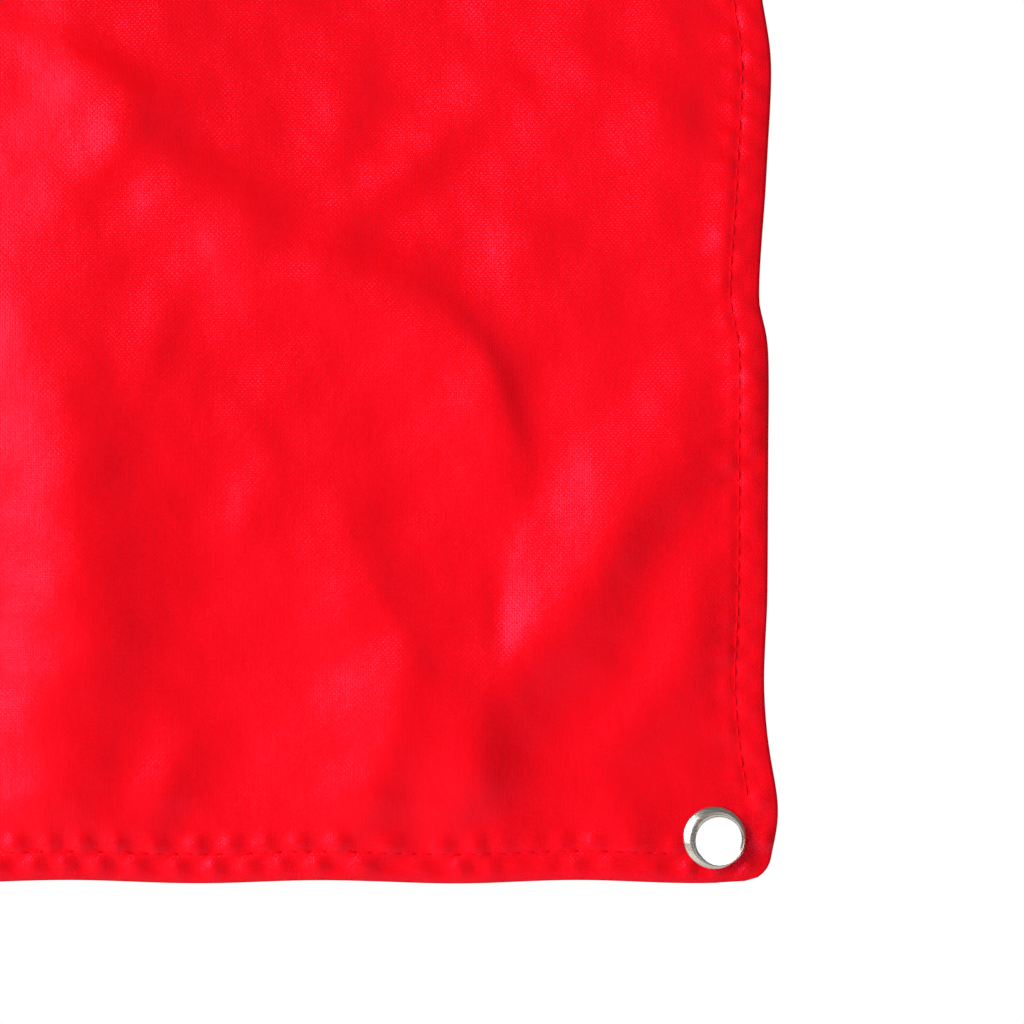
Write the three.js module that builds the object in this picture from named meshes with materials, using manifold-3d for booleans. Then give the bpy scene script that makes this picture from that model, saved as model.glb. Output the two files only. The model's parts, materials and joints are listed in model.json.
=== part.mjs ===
// A portable windsock on a telescopic pole: folding cross base, two-stage pole with a flip clamp,
// ball-bearing swivel head, wire basket frame, and a red cloth sock of two sewn panels.
// Millimetres, +Z up. The origin is on the floor, on the pole's axis. The sock streams along +X.

import * as THREE from "three";
import { mergeVertices } from "three/addons/utils/BufferGeometryUtils.js";
import Module from "manifold-3d";

const wasm = await Module();
wasm.setup();

// ---------------------------------------------------------------- driving dimensions

const GAP = 0.3; // between faces that touch on the real object

// Cross base
const BAR_LENGTH = 720;
const BAR_WIDTH = 40;
const BAR_THICK = 6;
const FOOT_HEIGHT = 14;
const FOOT_RADIUS = 17;
const FOOT_INSET = 24; // from a bar's end to its foot's centre
const PIVOT_RADIUS = 8;
const PIVOT_HOLE_RADIUS = PIVOT_RADIUS + 0.5;
const BOLT_HEAD_RADIUS = 14;
const WASHER_THICK = 2;
const WASHER_RADIUS = 24;
const SOCKET_HEIGHT = 120;
const SOCKET_RADIUS = 19.5;
const FLANGE_RADIUS = 36;
const FLANGE_THICK = 6;
const BOSS_RADIUS = 8; // of the boss that holds the thumb screw
const SCREW_SHARE = 0.7; // the thumb screw's height, as a share of the socket's

// Pole
const LOWER_RADIUS = 16;
const UPPER_RADIUS = 14;
const TUBE_WALL = 1.5;
const LOWER_LENGTH = 720;
const UPPER_LENGTH = 720;
const TUBE_OVERLAP = 110; // how much of the upper tube stays inside the lower one
const CLAMP_HEIGHT = 44;
const CLAMP_RADIUS = 21;
const EAR_REACH = 13;
const EAR_WIDTH = 16;
const SLIT_WIDTH = 2.4;
const CAM_RADIUS = 5.4;
const CAM_THROW = 0.6; // how far the cam's centre stands off its pin
const LEVER_HEIGHT = 14;

// Swivel head, with 10 x 26 x 8 mm deep-groove ball bearings
const SHAFT_RADIUS = 5;
const BEARING_RADIUS = 13;
const BEARING_WIDTH = 8;
const BALL_RADIUS = 1.9;
const BALL_TRACK_RADIUS = 9;
const BALL_COUNT = 8;
const HOUSING_RADIUS = 17;
const HOUSING_HEIGHT = 48;
const SPIGOT_DEPTH = 40;

// Wire basket
const HOOP_X = 14; // the hoops stand just downwind of the shaft
const HOOP_RADIUS = 122;
const HOOP_WIRE = 2.5;
const REAR_WIRE = 2;
const BLOCK_HEIGHT = 14; // of the two blocks that clamp the front hoop to the shaft
const BASKET_LENGTH = 250;
const STAY_RADIUS = 2;
const STAY_ANGLES = [45, 135, 225, 315];
const HOOP_ABOVE_HOUSING = 46; // from the housing's top to the bottom of the front hoop

// Sock
const SOCK_START = 5; // from the hoop's plane to the edge of the mouth
const SOCK_LENGTH = 950;
const BAND_WIDTH = 30;
const BAND_THICK = 1.5;
const CLOTH_THICK = 1.5;
const MOUTH_RADIUS = 122;
const TAIL_RADIUS = 60;
const CONE_END = 640; // where the taper ends and the parallel tail begins
const FLAT_START = 260; // where the section starts to fall flat, behind the basket
const FLAT_END = 800;
const TAIL_SHARE = 0.1; // half thickness of the flat tail, as a share of its radius
const SAG_START = 240;
const SAG = 0.45 * (FLAT_END - SAG_START) * Math.tan(THREE.MathUtils.degToRad(8)); // the tail's drop

// Eyelets, 8 mm hole and 12 mm flange
const EYELET_HOLE = 4.1;
const EYELET_BARREL = 5;
const EYELET_FLANGE = 6;
const EYELET_FLANGE_THICK = 0.7;
const MOUTH_EYELETS = 8;
const MOUTH_EYELET_X = 15; // from the hoop's plane
const TAIL_EYELET_FROM_END = 10.2;
const TAIL_EYELET_FROM_SEAM = 7.2;
const CORD_RADIUS = 1.25;
const FLANGE_CLEARANCE = 0.6; // the flanges are flat and the band is round
const BAND_INNER = MOUTH_RADIUS + 2 * CLOTH_THICK + GAP;
const MOUTH_GRIP_MIDDLE = (MOUTH_RADIUS + CLOTH_THICK + BAND_INNER + BAND_THICK) / 2;
const MOUTH_GRIP = BAND_INNER + BAND_THICK - MOUTH_RADIUS - CLOTH_THICK + 2 * FLANGE_CLEARANCE;
const EYELET_TOP_RADIUS = MOUTH_GRIP_MIDDLE + MOUTH_GRIP / 2 + EYELET_FLANGE_THICK;

// Levels worked out from the sizes above
const BAR_1_Z = FOOT_HEIGHT;
const BAR_2_Z = BAR_1_Z + BAR_THICK + WASHER_THICK + 2 * GAP;
const FLANGE_Z = BAR_2_Z + BAR_THICK + GAP;
const SOCKET_FLOOR_Z = FLANGE_Z + FLANGE_THICK;
const LOWER_Z = SOCKET_FLOOR_Z + GAP;
const LOWER_TOP_Z = LOWER_Z + LOWER_LENGTH;
const UPPER_Z = LOWER_TOP_Z - TUBE_OVERLAP;
const UPPER_TOP_Z = UPPER_Z + UPPER_LENGTH;
const HOUSING_TOP_Z = UPPER_TOP_Z + HOUSING_HEIGHT;
const HOOP_Z = HOUSING_TOP_Z + HOOP_ABOVE_HOUSING + HOOP_RADIUS;

// ---------------------------------------------------------------- materials

const metal = (color, roughness) =>
  new THREE.MeshStandardMaterial({ color, roughness, metalness: 1 });
const plastic = (color, roughness) =>
  new THREE.MeshStandardMaterial({ color, roughness, metalness: 0 });

const blackSteel = plastic(0x18191b, 0.45);
const aluminium = metal(0xc9ccd0, 0.32);
const zincSteel = metal(0xb9bcc0, 0.35);
const bearingSteel = metal(0xa8abaf, 0.2);
const nickel = metal(0xd8d6d0, 0.18);
const blackPlastic = plastic(0x141416, 0.5);
const rubber = plastic(0x1c1c1d, 0.85);
const redCloth = plastic(0xf40c1c, 0.6);
const redWebbing = plastic(0xd80a18, 0.75);
const whiteCord = plastic(0xe8e6e0, 0.8);

// ---------------------------------------------------------------- helpers

const model = new THREE.Group();

function add(name, geometry, material, parent = model) {
  const mesh = new THREE.Mesh(geometry, material);
  mesh.name = name;
  parent.add(mesh);
  return mesh;
}

function groupAt(x, y, z, parent = model) {
  const group = new THREE.Group();
  group.position.set(x, y, z);
  parent.add(group);
  return group;
}

// A solid turned about Z from [radius, height] points, which go up on the outside.
function turned(profile, segments = 32) {
  const points = profile.map(([radius, height]) => new THREE.Vector2(radius, height));
  if (profile[0][0] > 0) points.push(points[0].clone());
  return new THREE.LatheGeometry(points, segments).rotateX(Math.PI / 2);
}

function ring(inner, outer, low, high, segments = 32) {
  return turned([[outer, low], [outer, high], [inner, high], [inner, low]], segments);
}

function disc(radius, low, high, segments = 32) {
  return turned([[0, low], [radius, low], [radius, high], [0, high]], segments);
}

function box(width, depth, height) {
  return new THREE.BoxGeometry(width, depth, height);
}

function toSolid(geometry) {
  const bare = geometry.clone();
  bare.deleteAttribute("normal");
  bare.deleteAttribute("uv");
  const merged = mergeVertices(bare, 1e-3);
  return new wasm.Manifold(
    new wasm.Mesh({
      numProp: 3,
      vertProperties: merged.getAttribute("position").array,
      triVerts: new Uint32Array(merged.index.array),
    }),
  );
}

function toGeometry(solid) {
  const mesh = solid.getMesh();
  return new THREE.BufferGeometry()
    .setAttribute("position", new THREE.BufferAttribute(mesh.vertProperties, 3))
    .setIndex(new THREE.BufferAttribute(mesh.triVerts, 1));
}

function cut(geometry, ...tools) {
  return toGeometry(tools.reduce((left, tool) => left.subtract(toSolid(tool)), toSolid(geometry)));
}

function joined(...geometries) {
  return toGeometry(geometries.map(toSolid).reduce((whole, piece) => whole.add(piece)));
}

// A flat bar with round ends and a hole in the middle, lying along X.
function flatBar(length, width, thick, hole) {
  const half = (length - width) / 2;
  const outline = new THREE.Shape();
  outline.absarc(half, 0, width / 2, -Math.PI / 2, Math.PI / 2);
  outline.absarc(-half, 0, width / 2, Math.PI / 2, Math.PI * 1.5);
  const middle = new THREE.Path();
  middle.absarc(0, 0, hole, 0, Math.PI * 2);
  outline.holes.push(middle);
  return new THREE.ExtrudeGeometry(outline, { depth: thick, bevelEnabled: false, curveSegments: 24 });
}

// A round rod between two points.
function rod(from, to, radius, sides = 10) {
  const length = from.distanceTo(to);
  const turn = new THREE.Quaternion().setFromUnitVectors(
    new THREE.Vector3(0, 1, 0),
    to.clone().sub(from).normalize(),
  );
  const middle = from.clone().add(to).multiplyScalar(0.5);
  return new THREE.CylinderGeometry(radius, radius, length, sides)
    .applyQuaternion(turn)
    .translate(middle.x, middle.y, middle.z);
}

// A hexagonal nut about Y, sized across its corners.
function hexNut(radius, hole, height) {
  return cut(
    new THREE.CylinderGeometry(radius, radius, height, 6),
    new THREE.CylinderGeometry(hole, hole, 2 * height, 16),
  );
}

// A closed ring of wire standing in the YZ plane.
function hoop(radius, wire) {
  return new THREE.TorusGeometry(radius, wire, 6, 48).rotateY(Math.PI / 2);
}

// ---------------------------------------------------------------- cross base

function crossBar(name, z) {
  const bar = flatBar(BAR_LENGTH, BAR_WIDTH, BAR_THICK, PIVOT_HOLE_RADIUS).translate(0, 0, z);
  return add(name, bar, blackSteel);
}

// A rubber foot under a bar, a little wider at the floor.
function foot(name, x, y, height) {
  const top = height - GAP;
  const profile = [[0, 0], [FOOT_RADIUS - 1, 0], [FOOT_RADIUS, 2], [FOOT_RADIUS - 3, top], [0, top]];
  add(name, turned(profile, 24).translate(x, y, 0), rubber);
}

function crossBase() {
  const reach = BAR_LENGTH / 2 - FOOT_INSET;
  crossBar("lower_cross_bar", BAR_1_Z);
  crossBar("folding_cross_bar", BAR_2_Z).rotation.z = Math.PI / 2;
  foot("lower_bar_foot_rear", -reach, 0, BAR_1_Z);
  foot("lower_bar_foot_front", reach, 0, BAR_1_Z);
  foot("folding_bar_foot_right", 0, -reach, BAR_2_Z);
  foot("folding_bar_foot_left", 0, reach, BAR_2_Z);

  const washerLow = BAR_1_Z + BAR_THICK + GAP;
  const washer = ring(PIVOT_HOLE_RADIUS, WASHER_RADIUS, washerLow, washerLow + WASHER_THICK);
  add("pivot_washer", washer, blackPlastic);

  // The socket is a flanged tube whose solid stem passes through both bars.
  const rim = SOCKET_FLOOR_Z + SOCKET_HEIGHT;
  const bore = LOWER_RADIUS + 0.6;
  const stemLow = BAR_1_Z + 1;
  const stem = PIVOT_RADIUS;
  const socket = turned([
    [0, stemLow], [stem, stemLow], [stem, FLANGE_Z], [FLANGE_RADIUS, FLANGE_Z],
    [FLANGE_RADIUS, FLANGE_Z + 3], [SOCKET_RADIUS + 5, SOCKET_FLOOR_Z], [SOCKET_RADIUS, SOCKET_FLOOR_Z + 8],
    [SOCKET_RADIUS, rim], [bore, rim], [bore, SOCKET_FLOOR_Z], [0, SOCKET_FLOOR_Z],
  ]);
  const screwHeight = SOCKET_FLOOR_Z + SOCKET_HEIGHT * SCREW_SHARE;
  const boss = new THREE.CylinderGeometry(BOSS_RADIUS, BOSS_RADIUS, 8, 20)
    .rotateZ(Math.PI / 2)
    .translate(-SOCKET_RADIUS - 3, 0, screwHeight);
  const screwHole = new THREE.CylinderGeometry(3.4, 3.4, 30, 16)
    .rotateZ(Math.PI / 2)
    .translate(-SOCKET_RADIUS, 0, screwHeight);
  const stemThread = new THREE.CylinderGeometry(4.4, 4.4, 24, 16)
    .rotateX(Math.PI / 2)
    .translate(0, 0, stemLow + 4);
  add("pole_socket", cut(joined(socket, boss), screwHole, stemThread), blackSteel);

  // The bolt holds both bars up against the socket's stem, and a rubber cup covers its head.
  const headTop = BAR_1_Z - GAP;
  const boltHead = disc(BOLT_HEAD_RADIUS, headTop - 6, headTop, 24);
  const boltShank = disc(4, headTop - 1, stemLow + 14, 16);
  add("pivot_bolt", joined(boltHead, boltShank), zincSteel);
  const cup = BOLT_HEAD_RADIUS + 1;
  const pad = [[0, 0], [cup + 5, 0], [cup + 6, 2], [cup + 6, headTop], [cup, headTop], [cup, 4], [0, 4]];
  add("hub_pad", turned(pad), rubber);

  // Thumb screw that pinches the pole in its socket.
  const thumb = groupAt(-SOCKET_RADIUS - 7.4, 0, screwHeight);
  const shank = new THREE.CylinderGeometry(3, 3, 12, 16).rotateZ(Math.PI / 2).translate(4.2, 0, 0);
  const collar = new THREE.CylinderGeometry(6, 6, 6, 20).rotateZ(Math.PI / 2).translate(-3.4, 0, 0);
  const wings = box(12, 30, 5).translate(-12, 0, 0);
  add("socket_thumb_screw", joined(shank, collar, wings), blackPlastic, thumb);
}

// ---------------------------------------------------------------- telescopic pole

// The sleeve grips the lower tube and, where it is slit between its ears, pinches the upper one.
function clampSleeve() {
  const low = LOWER_TOP_Z - CLAMP_HEIGHT * 0.6;
  const high = low + CLAMP_HEIGHT;
  const lip = LOWER_TOP_Z + GAP;
  const sleeve = turned([
    [CLAMP_RADIUS, low], [CLAMP_RADIUS, high - 2], [CLAMP_RADIUS - 2, high], [UPPER_RADIUS + 0.5, high],
    [UPPER_RADIUS + 0.5, lip], [LOWER_RADIUS + GAP, lip], [LOWER_RADIUS + GAP, low],
  ]);
  const earMiddle = high - CLAMP_HEIGHT * 0.3;
  const ears = box(EAR_REACH, EAR_WIDTH, CLAMP_HEIGHT * 0.5)
    .translate(CLAMP_RADIUS + EAR_REACH / 2 - 2, 0, earMiddle);
  const slit = box(CLAMP_RADIUS + EAR_REACH, SLIT_WIDTH, CLAMP_HEIGHT * 0.62)
    .translate(CLAMP_RADIUS, 0, earMiddle);
  return { geometry: cut(joined(sleeve, ears), slit), earMiddle };
}

function poleClamp() {
  const { geometry, earMiddle } = clampSleeve();
  const boltX = CLAMP_RADIUS + 6;
  const boltHole = new THREE.CylinderGeometry(2.5, 2.5, 2 * EAR_WIDTH, 16).translate(boltX, 0, earMiddle);
  add("pole_clamp", cut(geometry, boltHole), blackPlastic);

  // The bolt crosses both ears. A nut holds one end, and the lever's cam pulls on the eye at the other.
  const pinY = -(EAR_WIDTH / 2 + GAP + CAM_RADIUS + CAM_THROW);
  const bolt = groupAt(boltX, 0, earMiddle);
  const nutY = EAR_WIDTH / 2 + GAP + 1.6;
  const shankLength = nutY + 2 - pinY - 2;
  const shank = new THREE.CylinderGeometry(2.1, 2.1, shankLength, 12)
    .translate(0, nutY + 2 - shankLength / 2, 0);
  const eye = new THREE.CylinderGeometry(3.6, 3.6, 5, 16).rotateX(Math.PI / 2).translate(0, pinY, 0);
  const eyeHole = new THREE.CylinderGeometry(1.9, 1.9, 8, 12).rotateX(Math.PI / 2).translate(0, pinY, 0);
  add("clamp_bolt", cut(joined(shank, eye), eyeHole), zincSteel, bolt);
  add("clamp_nut", hexNut(4.6, 2.4, 3.2).translate(0, nutY, 0), zincSteel, bolt);

  // The lever turns about the upright pin in that eye, and wraps the sleeve when it is shut.
  const lever = groupAt(boltX, pinY, earMiddle);
  add("lever_pin", new THREE.CylinderGeometry(1.6, 1.6, 15, 12).rotateX(Math.PI / 2), zincSteel, lever);
  const cam = new THREE.CylinderGeometry(CAM_RADIUS, CAM_RADIUS, LEVER_HEIGHT, 24)
    .rotateX(Math.PI / 2)
    .translate(0, CAM_THROW, 0);
  const pinHole = new THREE.CylinderGeometry(1.9, 1.9, 2 * LEVER_HEIGHT, 12).rotateX(Math.PI / 2);
  const eyeSlot = box(16, 30, 5.6).translate(4, 0, 0);
  const arc = new THREE.Shape();
  const inner = CLAMP_RADIUS + 3.5;
  const start = THREE.MathUtils.degToRad(-36);
  const end = THREE.MathUtils.degToRad(-165);
  arc.absarc(0, 0, inner + 4, start, end, true);
  arc.absarc(0, 0, inner, end, start, false);
  const grip = new THREE.ExtrudeGeometry(arc, { depth: LEVER_HEIGHT, bevelEnabled: false, curveSegments: 14 })
    .translate(-boltX, -pinY, -LEVER_HEIGHT / 2);
  add("clamp_lever", cut(joined(cam, grip), pinHole, eyeSlot), blackPlastic, lever);
}

function pole() {
  add("lower_tube", ring(LOWER_RADIUS - TUBE_WALL, LOWER_RADIUS, LOWER_Z + 4, LOWER_TOP_Z), aluminium);
  const plugRadius = LOWER_RADIUS - TUBE_WALL - GAP;
  const plugTop = LOWER_Z + 24;
  const plug = turned([
    [0, LOWER_Z], [LOWER_RADIUS, LOWER_Z], [LOWER_RADIUS, LOWER_Z + 3.7], [plugRadius, LOWER_Z + 3.7],
    [plugRadius, plugTop], [0, plugTop],
  ]);
  add("lower_tube_plug", plug, blackPlastic);
  add("upper_tube", ring(UPPER_RADIUS - TUBE_WALL, UPPER_RADIUS, UPPER_Z, UPPER_TOP_Z), aluminium);
  const bushInner = UPPER_RADIUS - TUBE_WALL - GAP;
  const bushLow = UPPER_Z - 6;
  const bush = turned([
    [UPPER_RADIUS, bushLow], [UPPER_RADIUS, UPPER_Z - GAP],
    [bushInner, UPPER_Z - GAP], [bushInner, UPPER_Z + 16],
    [bushInner - 2, UPPER_Z + 16], [bushInner - 2, bushLow],
  ]);
  add("slide_bush", bush, blackPlastic);
  poleClamp();
}

// ---------------------------------------------------------------- swivel head

function ballSet() {
  const cage = ring(BALL_TRACK_RADIUS - 0.7, BALL_TRACK_RADIUS + 0.7, -0.8, 0.8, 24);
  const balls = Array.from({ length: BALL_COUNT }, (_, i) => {
    const angle = (i / BALL_COUNT) * Math.PI * 2;
    return new THREE.IcosahedronGeometry(BALL_RADIUS, 1).translate(
      BALL_TRACK_RADIUS * Math.cos(angle),
      BALL_TRACK_RADIUS * Math.sin(angle),
      0,
    );
  });
  return joined(cage, ...balls);
}

function bearing(name, z) {
  const half = BEARING_WIDTH / 2;
  const at = groupAt(0, 0, z + half);
  const innerFace = BALL_TRACK_RADIUS - BALL_RADIUS - GAP;
  const outerFace = BALL_TRACK_RADIUS + BALL_RADIUS + GAP;
  add(`${name}_inner_race`, ring(SHAFT_RADIUS + GAP, innerFace, -half, half, 24), bearingSteel, at);
  add(`${name}_outer_race`, ring(outerFace, BEARING_RADIUS, -half, half, 24), bearingSteel, at);
  add(`${name}_balls`, ballSet(), bearingSteel, at);
}

function swivelHead() {
  const seat = UPPER_TOP_Z + 4;
  const bore = BEARING_RADIUS + GAP;
  const spigot = UPPER_RADIUS - TUBE_WALL - GAP;
  const housing = turned([
    [spigot, UPPER_TOP_Z - SPIGOT_DEPTH], [spigot, UPPER_TOP_Z + GAP],
    [HOUSING_RADIUS - 1, UPPER_TOP_Z + GAP],
    [HOUSING_RADIUS, UPPER_TOP_Z + 1.5], [HOUSING_RADIUS, HOUSING_TOP_Z], [bore, HOUSING_TOP_Z],
    [bore, seat], [10.8, seat], [10.8, UPPER_TOP_Z - SPIGOT_DEPTH],
  ]);
  add("bearing_housing", housing, aluminium);

  const lowerBearing = seat + GAP;
  const spacerLow = lowerBearing + BEARING_WIDTH + GAP;
  const upperBearing = spacerLow + 20 + GAP;
  bearing("lower_bearing", lowerBearing);
  add("bearing_spacer", ring(SHAFT_RADIUS + GAP, SHAFT_RADIUS + 2, spacerLow, spacerLow + 20, 24), aluminium);
  bearing("upper_bearing", upperBearing);
  const clipLow = upperBearing + BEARING_WIDTH + GAP;
  add("housing_circlip", ring(10.6, BEARING_RADIUS, clipLow, clipLow + 1.2, 24), bearingSteel);

  // The shaft's shoulder rests on the upper inner race, and the nut closes the stack from below.
  const shoulder = upperBearing + BEARING_WIDTH + GAP;
  const tip = HOOP_Z + HOOP_RADIUS + BLOCK_HEIGHT / 2 + 11;
  const shaft = turned([
    [0, seat - 14], [SHAFT_RADIUS, seat - 14], [SHAFT_RADIUS, shoulder], [SHAFT_RADIUS + 2, shoulder],
    [SHAFT_RADIUS + 2, HOUSING_TOP_Z + 1], [SHAFT_RADIUS, HOUSING_TOP_Z + 1], [SHAFT_RADIUS, tip], [0, tip],
  ], 24);
  add("swivel_shaft", shaft, zincSteel);
  const nut = hexNut(9.2, SHAFT_RADIUS + GAP, 6).rotateX(Math.PI / 2);
  add("shaft_nut", nut.translate(0, 0, lowerBearing - GAP - 3), zincSteel);

  // Rain cap: a skirted cone fixed to the shaft over the housing's mouth.
  const skirt = HOUSING_RADIUS + 2;
  const capLow = HOUSING_TOP_Z - 12;
  const cap = turned([
    [skirt + 2, capLow], [skirt + 2, HOUSING_TOP_Z + 5], [SHAFT_RADIUS + 4, HOUSING_TOP_Z + 15],
    [SHAFT_RADIUS + 4, HOUSING_TOP_Z + 19], [SHAFT_RADIUS + GAP, HOUSING_TOP_Z + 19],
    [SHAFT_RADIUS + GAP, HOUSING_TOP_Z + 12], [skirt, HOUSING_TOP_Z + 3], [skirt, capLow],
  ]);
  add("rain_cap", cap, blackPlastic);

  const domeLow = tip - 8;
  const dome = turned([
    [SHAFT_RADIUS + 2, domeLow], [SHAFT_RADIUS + 2, tip + 1], [SHAFT_RADIUS, tip + 4], [0, tip + 5],
    [0, tip + GAP], [SHAFT_RADIUS + GAP, tip + GAP],
    [SHAFT_RADIUS + GAP, domeLow], [SHAFT_RADIUS + 2, domeLow],
  ], 24);
  add("shaft_end_cap", dome, blackPlastic);
}

// ---------------------------------------------------------------- wire basket

// A block that grips the shaft and the front hoop, and the screw that tightens it.
function hoopClamp(name, side) {
  const z = HOOP_Z + side * HOOP_RADIUS;
  const block = box(27, 18, BLOCK_HEIGHT).translate(4.5, 0, z);
  const shaftHole = disc(SHAFT_RADIUS + GAP, z - 20, z + 20, 24);
  const wireHole = hoop(HOOP_RADIUS, HOOP_WIRE + GAP).translate(HOOP_X, 0, HOOP_Z);
  const screwHole = new THREE.CylinderGeometry(2.4, 2.4, 12, 12).rotateZ(Math.PI / 2).translate(-8, 0, z);
  add(`${name}_hoop_clamp`, cut(block, shaftHole, wireHole, screwHole), aluminium);
  const head = new THREE.CylinderGeometry(4, 4, 4, 20).rotateZ(Math.PI / 2).translate(-11.3, 0, z);
  const shank = new THREE.CylinderGeometry(2, 2, 5, 12).rotateZ(Math.PI / 2).translate(-8, 0, z);
  const hexSocket = new THREE.CylinderGeometry(1.9, 1.9, 3, 6).rotateZ(Math.PI / 2).translate(-12.9, 0, z);
  add(`${name}_clamp_screw`, cut(joined(head, shank), hexSocket), zincSteel);
}

function basket() {
  const rearX = HOOP_X + BASKET_LENGTH;
  const rearRadius = sockRadius(BASKET_LENGTH - SOCK_START) - REAR_WIRE - 1;
  add("front_hoop", hoop(HOOP_RADIUS, HOOP_WIRE).translate(HOOP_X, 0, HOOP_Z), zincSteel);
  add("rear_hoop", hoop(rearRadius, REAR_WIRE).translate(rearX, 0, HOOP_Z), zincSteel);
  STAY_ANGLES.forEach((degrees, i) => {
    const angle = THREE.MathUtils.degToRad(degrees);
    const outward = new THREE.Vector3(0, Math.cos(angle), Math.sin(angle));
    const centre = (x, radius) => new THREE.Vector3(x, 0, HOOP_Z).addScaledVector(outward, radius);
    const front = centre(HOOP_X - 2, HOOP_RADIUS - HOOP_WIRE - STAY_RADIUS - GAP);
    const back = centre(rearX + 3, rearRadius - REAR_WIRE - STAY_RADIUS - GAP);
    add(`basket_stay_${i + 1}`, rod(front, back, STAY_RADIUS), zincSteel);
  });
  hoopClamp("lower", -1);
  hoopClamp("upper", 1);
}

// ---------------------------------------------------------------- sock

const smooth = (from, to, s) => THREE.MathUtils.smoothstep(s, from, to);

// The sock's round radius at a distance s from its mouth, whatever shape its section has there.
function sockRadius(s) {
  const share = THREE.MathUtils.clamp((s - BAND_WIDTH) / (CONE_END - BAND_WIDTH), 0, 1);
  return THREE.MathUtils.lerp(MOUTH_RADIUS + CLOTH_THICK, TAIL_RADIUS, share);
}

// Half width of the section, as a share of its round radius: 1 on the basket, TAIL_SHARE at the flat tail.
function sockOpenness(s) {
  return THREE.MathUtils.lerp(1, TAIL_SHARE, smooth(FLAT_START, FLAT_END, s));
}

// How far the section's middle hangs below the mouth's: it dips behind the basket and levels out again.
function sockSag(s) {
  return SAG * smooth(SAG_START, FLAT_END, s);
}

// Half height that keeps the girth of a section while it falls flat.
function sockHalfHeight(s) {
  const open = sockOpenness(s);
  return sockRadius(s) * Math.sqrt(2 - open * open) * (1 + 0.11 * (1 - open) ** 2);
}

// A point of the cloth's inner face. Angle 0 is the bottom seam and PI the top seam; side is -1 or +1.
function sockPoint(s, angle, side) {
  const open = sockOpenness(s);
  const edge = 1 + 3 * (1 - open); // flat sections lie shut along their seams
  const y = sockRadius(s) * open * Math.sin(angle) ** edge;
  const z = -sockHalfHeight(s) * Math.cos(angle) - sockSag(s);
  return new THREE.Vector3(HOOP_X + SOCK_START + s, side * y, HOOP_Z + z);
}

function sockNormal(s, angle, side) {
  const step = 1e-3;
  const a = THREE.MathUtils.clamp(angle, step, Math.PI - step);
  const along = sockPoint(s + 1, a, side).sub(sockPoint(s - 1, a, side));
  const around = sockPoint(s, a + step, side).sub(sockPoint(s, a - step, side));
  return around.cross(along).multiplyScalar(side).normalize();
}

// A closed skin over rows of points: each row is one closed outline, its first half on the outer
// face and its second half coming back along the inner face.
function loft(rows) {
  const count = rows[0].length;
  const positions = rows.flat().flatMap((p) => [p.x, p.y, p.z]);
  const faces = [];
  const quad = (a, b, c, d) => faces.push(a, b, c, a, c, d);
  for (let i = 0; i + 1 < rows.length; i++) {
    for (let j = 0; j < count; j++) {
      const k = (j + 1) % count;
      quad(i * count + j, i * count + k, (i + 1) * count + k, (i + 1) * count + j);
    }
  }
  const last = (rows.length - 1) * count;
  for (let j = 0; j + 1 < count / 2; j++) {
    const back = count - 1 - j;
    quad(j, back, back - 1, j + 1);
    quad(last + j, last + j + 1, last + back - 1, last + back);
  }
  return new THREE.BufferGeometry()
    .setAttribute("position", new THREE.Float32BufferAttribute(positions, 3))
    .setIndex(faces);
}

// One half of the sock, from the bottom seam round to the top seam.
function sockPanel(side) {
  const around = 20;
  const lengths = [0, BAND_WIDTH];
  for (let s = 80; s < SOCK_LENGTH; s += 58) lengths.push(s);
  lengths.push(SOCK_LENGTH);
  const rows = lengths.map((s) => {
    const face = (thick) =>
      Array.from({ length: around + 1 }, (_, j) => {
        const angle = (j / around) * Math.PI;
        const point = sockPoint(s, angle, side).addScaledVector(sockNormal(s, angle, side), thick);
        point.y = side * Math.max(GAP / 2, side * point.y);
        return point;
      });
    const outline = [...face(CLOTH_THICK), ...face(0).reverse()];
    return side > 0 ? outline : outline.reverse();
  });
  return loft(rows);
}

function eyeletProfile(grip) {
  const flange = grip / 2 + EYELET_FLANGE_THICK;
  return [
    [EYELET_HOLE, -flange], [EYELET_FLANGE, -flange], [EYELET_FLANGE, -grip / 2], [EYELET_BARREL, -grip / 2],
    [EYELET_BARREL, grip / 2], [EYELET_FLANGE, grip / 2], [EYELET_FLANGE, flange], [EYELET_HOLE, flange],
  ];
}

function mouthEyeletAngles() {
  return Array.from({ length: MOUTH_EYELETS }, (_, i) => ((i + 0.5) / MOUTH_EYELETS) * Math.PI * 2);
}

// The lacing: a ring of cord round the outside of the band, and a loop at each eyelet that passes
// through it and round the hoop.
function lacing() {
  const inner = HOOP_RADIUS - HOOP_WIRE - GAP - CORD_RADIUS;
  const outer = EYELET_TOP_RADIUS + 1.2 * GAP + CORD_RADIUS;
  const bend = (outer - inner) / 2;
  const eyeletBend = MOUTH_EYELET_X - 0.84 * bend; // keeps the crossing strand in the middle of the hole
  const halfTurn = (x, from) =>
    Array.from({ length: 7 }, (_, i) => {
      const turn = from + (i / 6) * Math.PI;
      return new THREE.Vector3(x + bend * Math.cos(turn), 0, bend * Math.sin(turn));
    });
  const points = [...halfTurn(eyeletBend, -Math.PI / 2), ...halfTurn(0, Math.PI / 2)];
  const path = new THREE.CatmullRomCurve3(points, true);
  const loops = mouthEyeletAngles().map((angle) =>
    new THREE.TubeGeometry(path, 24, CORD_RADIUS, 5, true)
      .translate(0, 0, inner + bend)
      .rotateX(angle - Math.PI / 2));
  const around = new THREE.TorusGeometry(outer, CORD_RADIUS, 5, 48).rotateY(Math.PI / 2);
  around.translate(SOCK_START + CORD_RADIUS + GAP, 0, 0);
  add("lacing_cord", joined(around, ...loops).translate(HOOP_X, 0, HOOP_Z), whiteCord);
}

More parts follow.
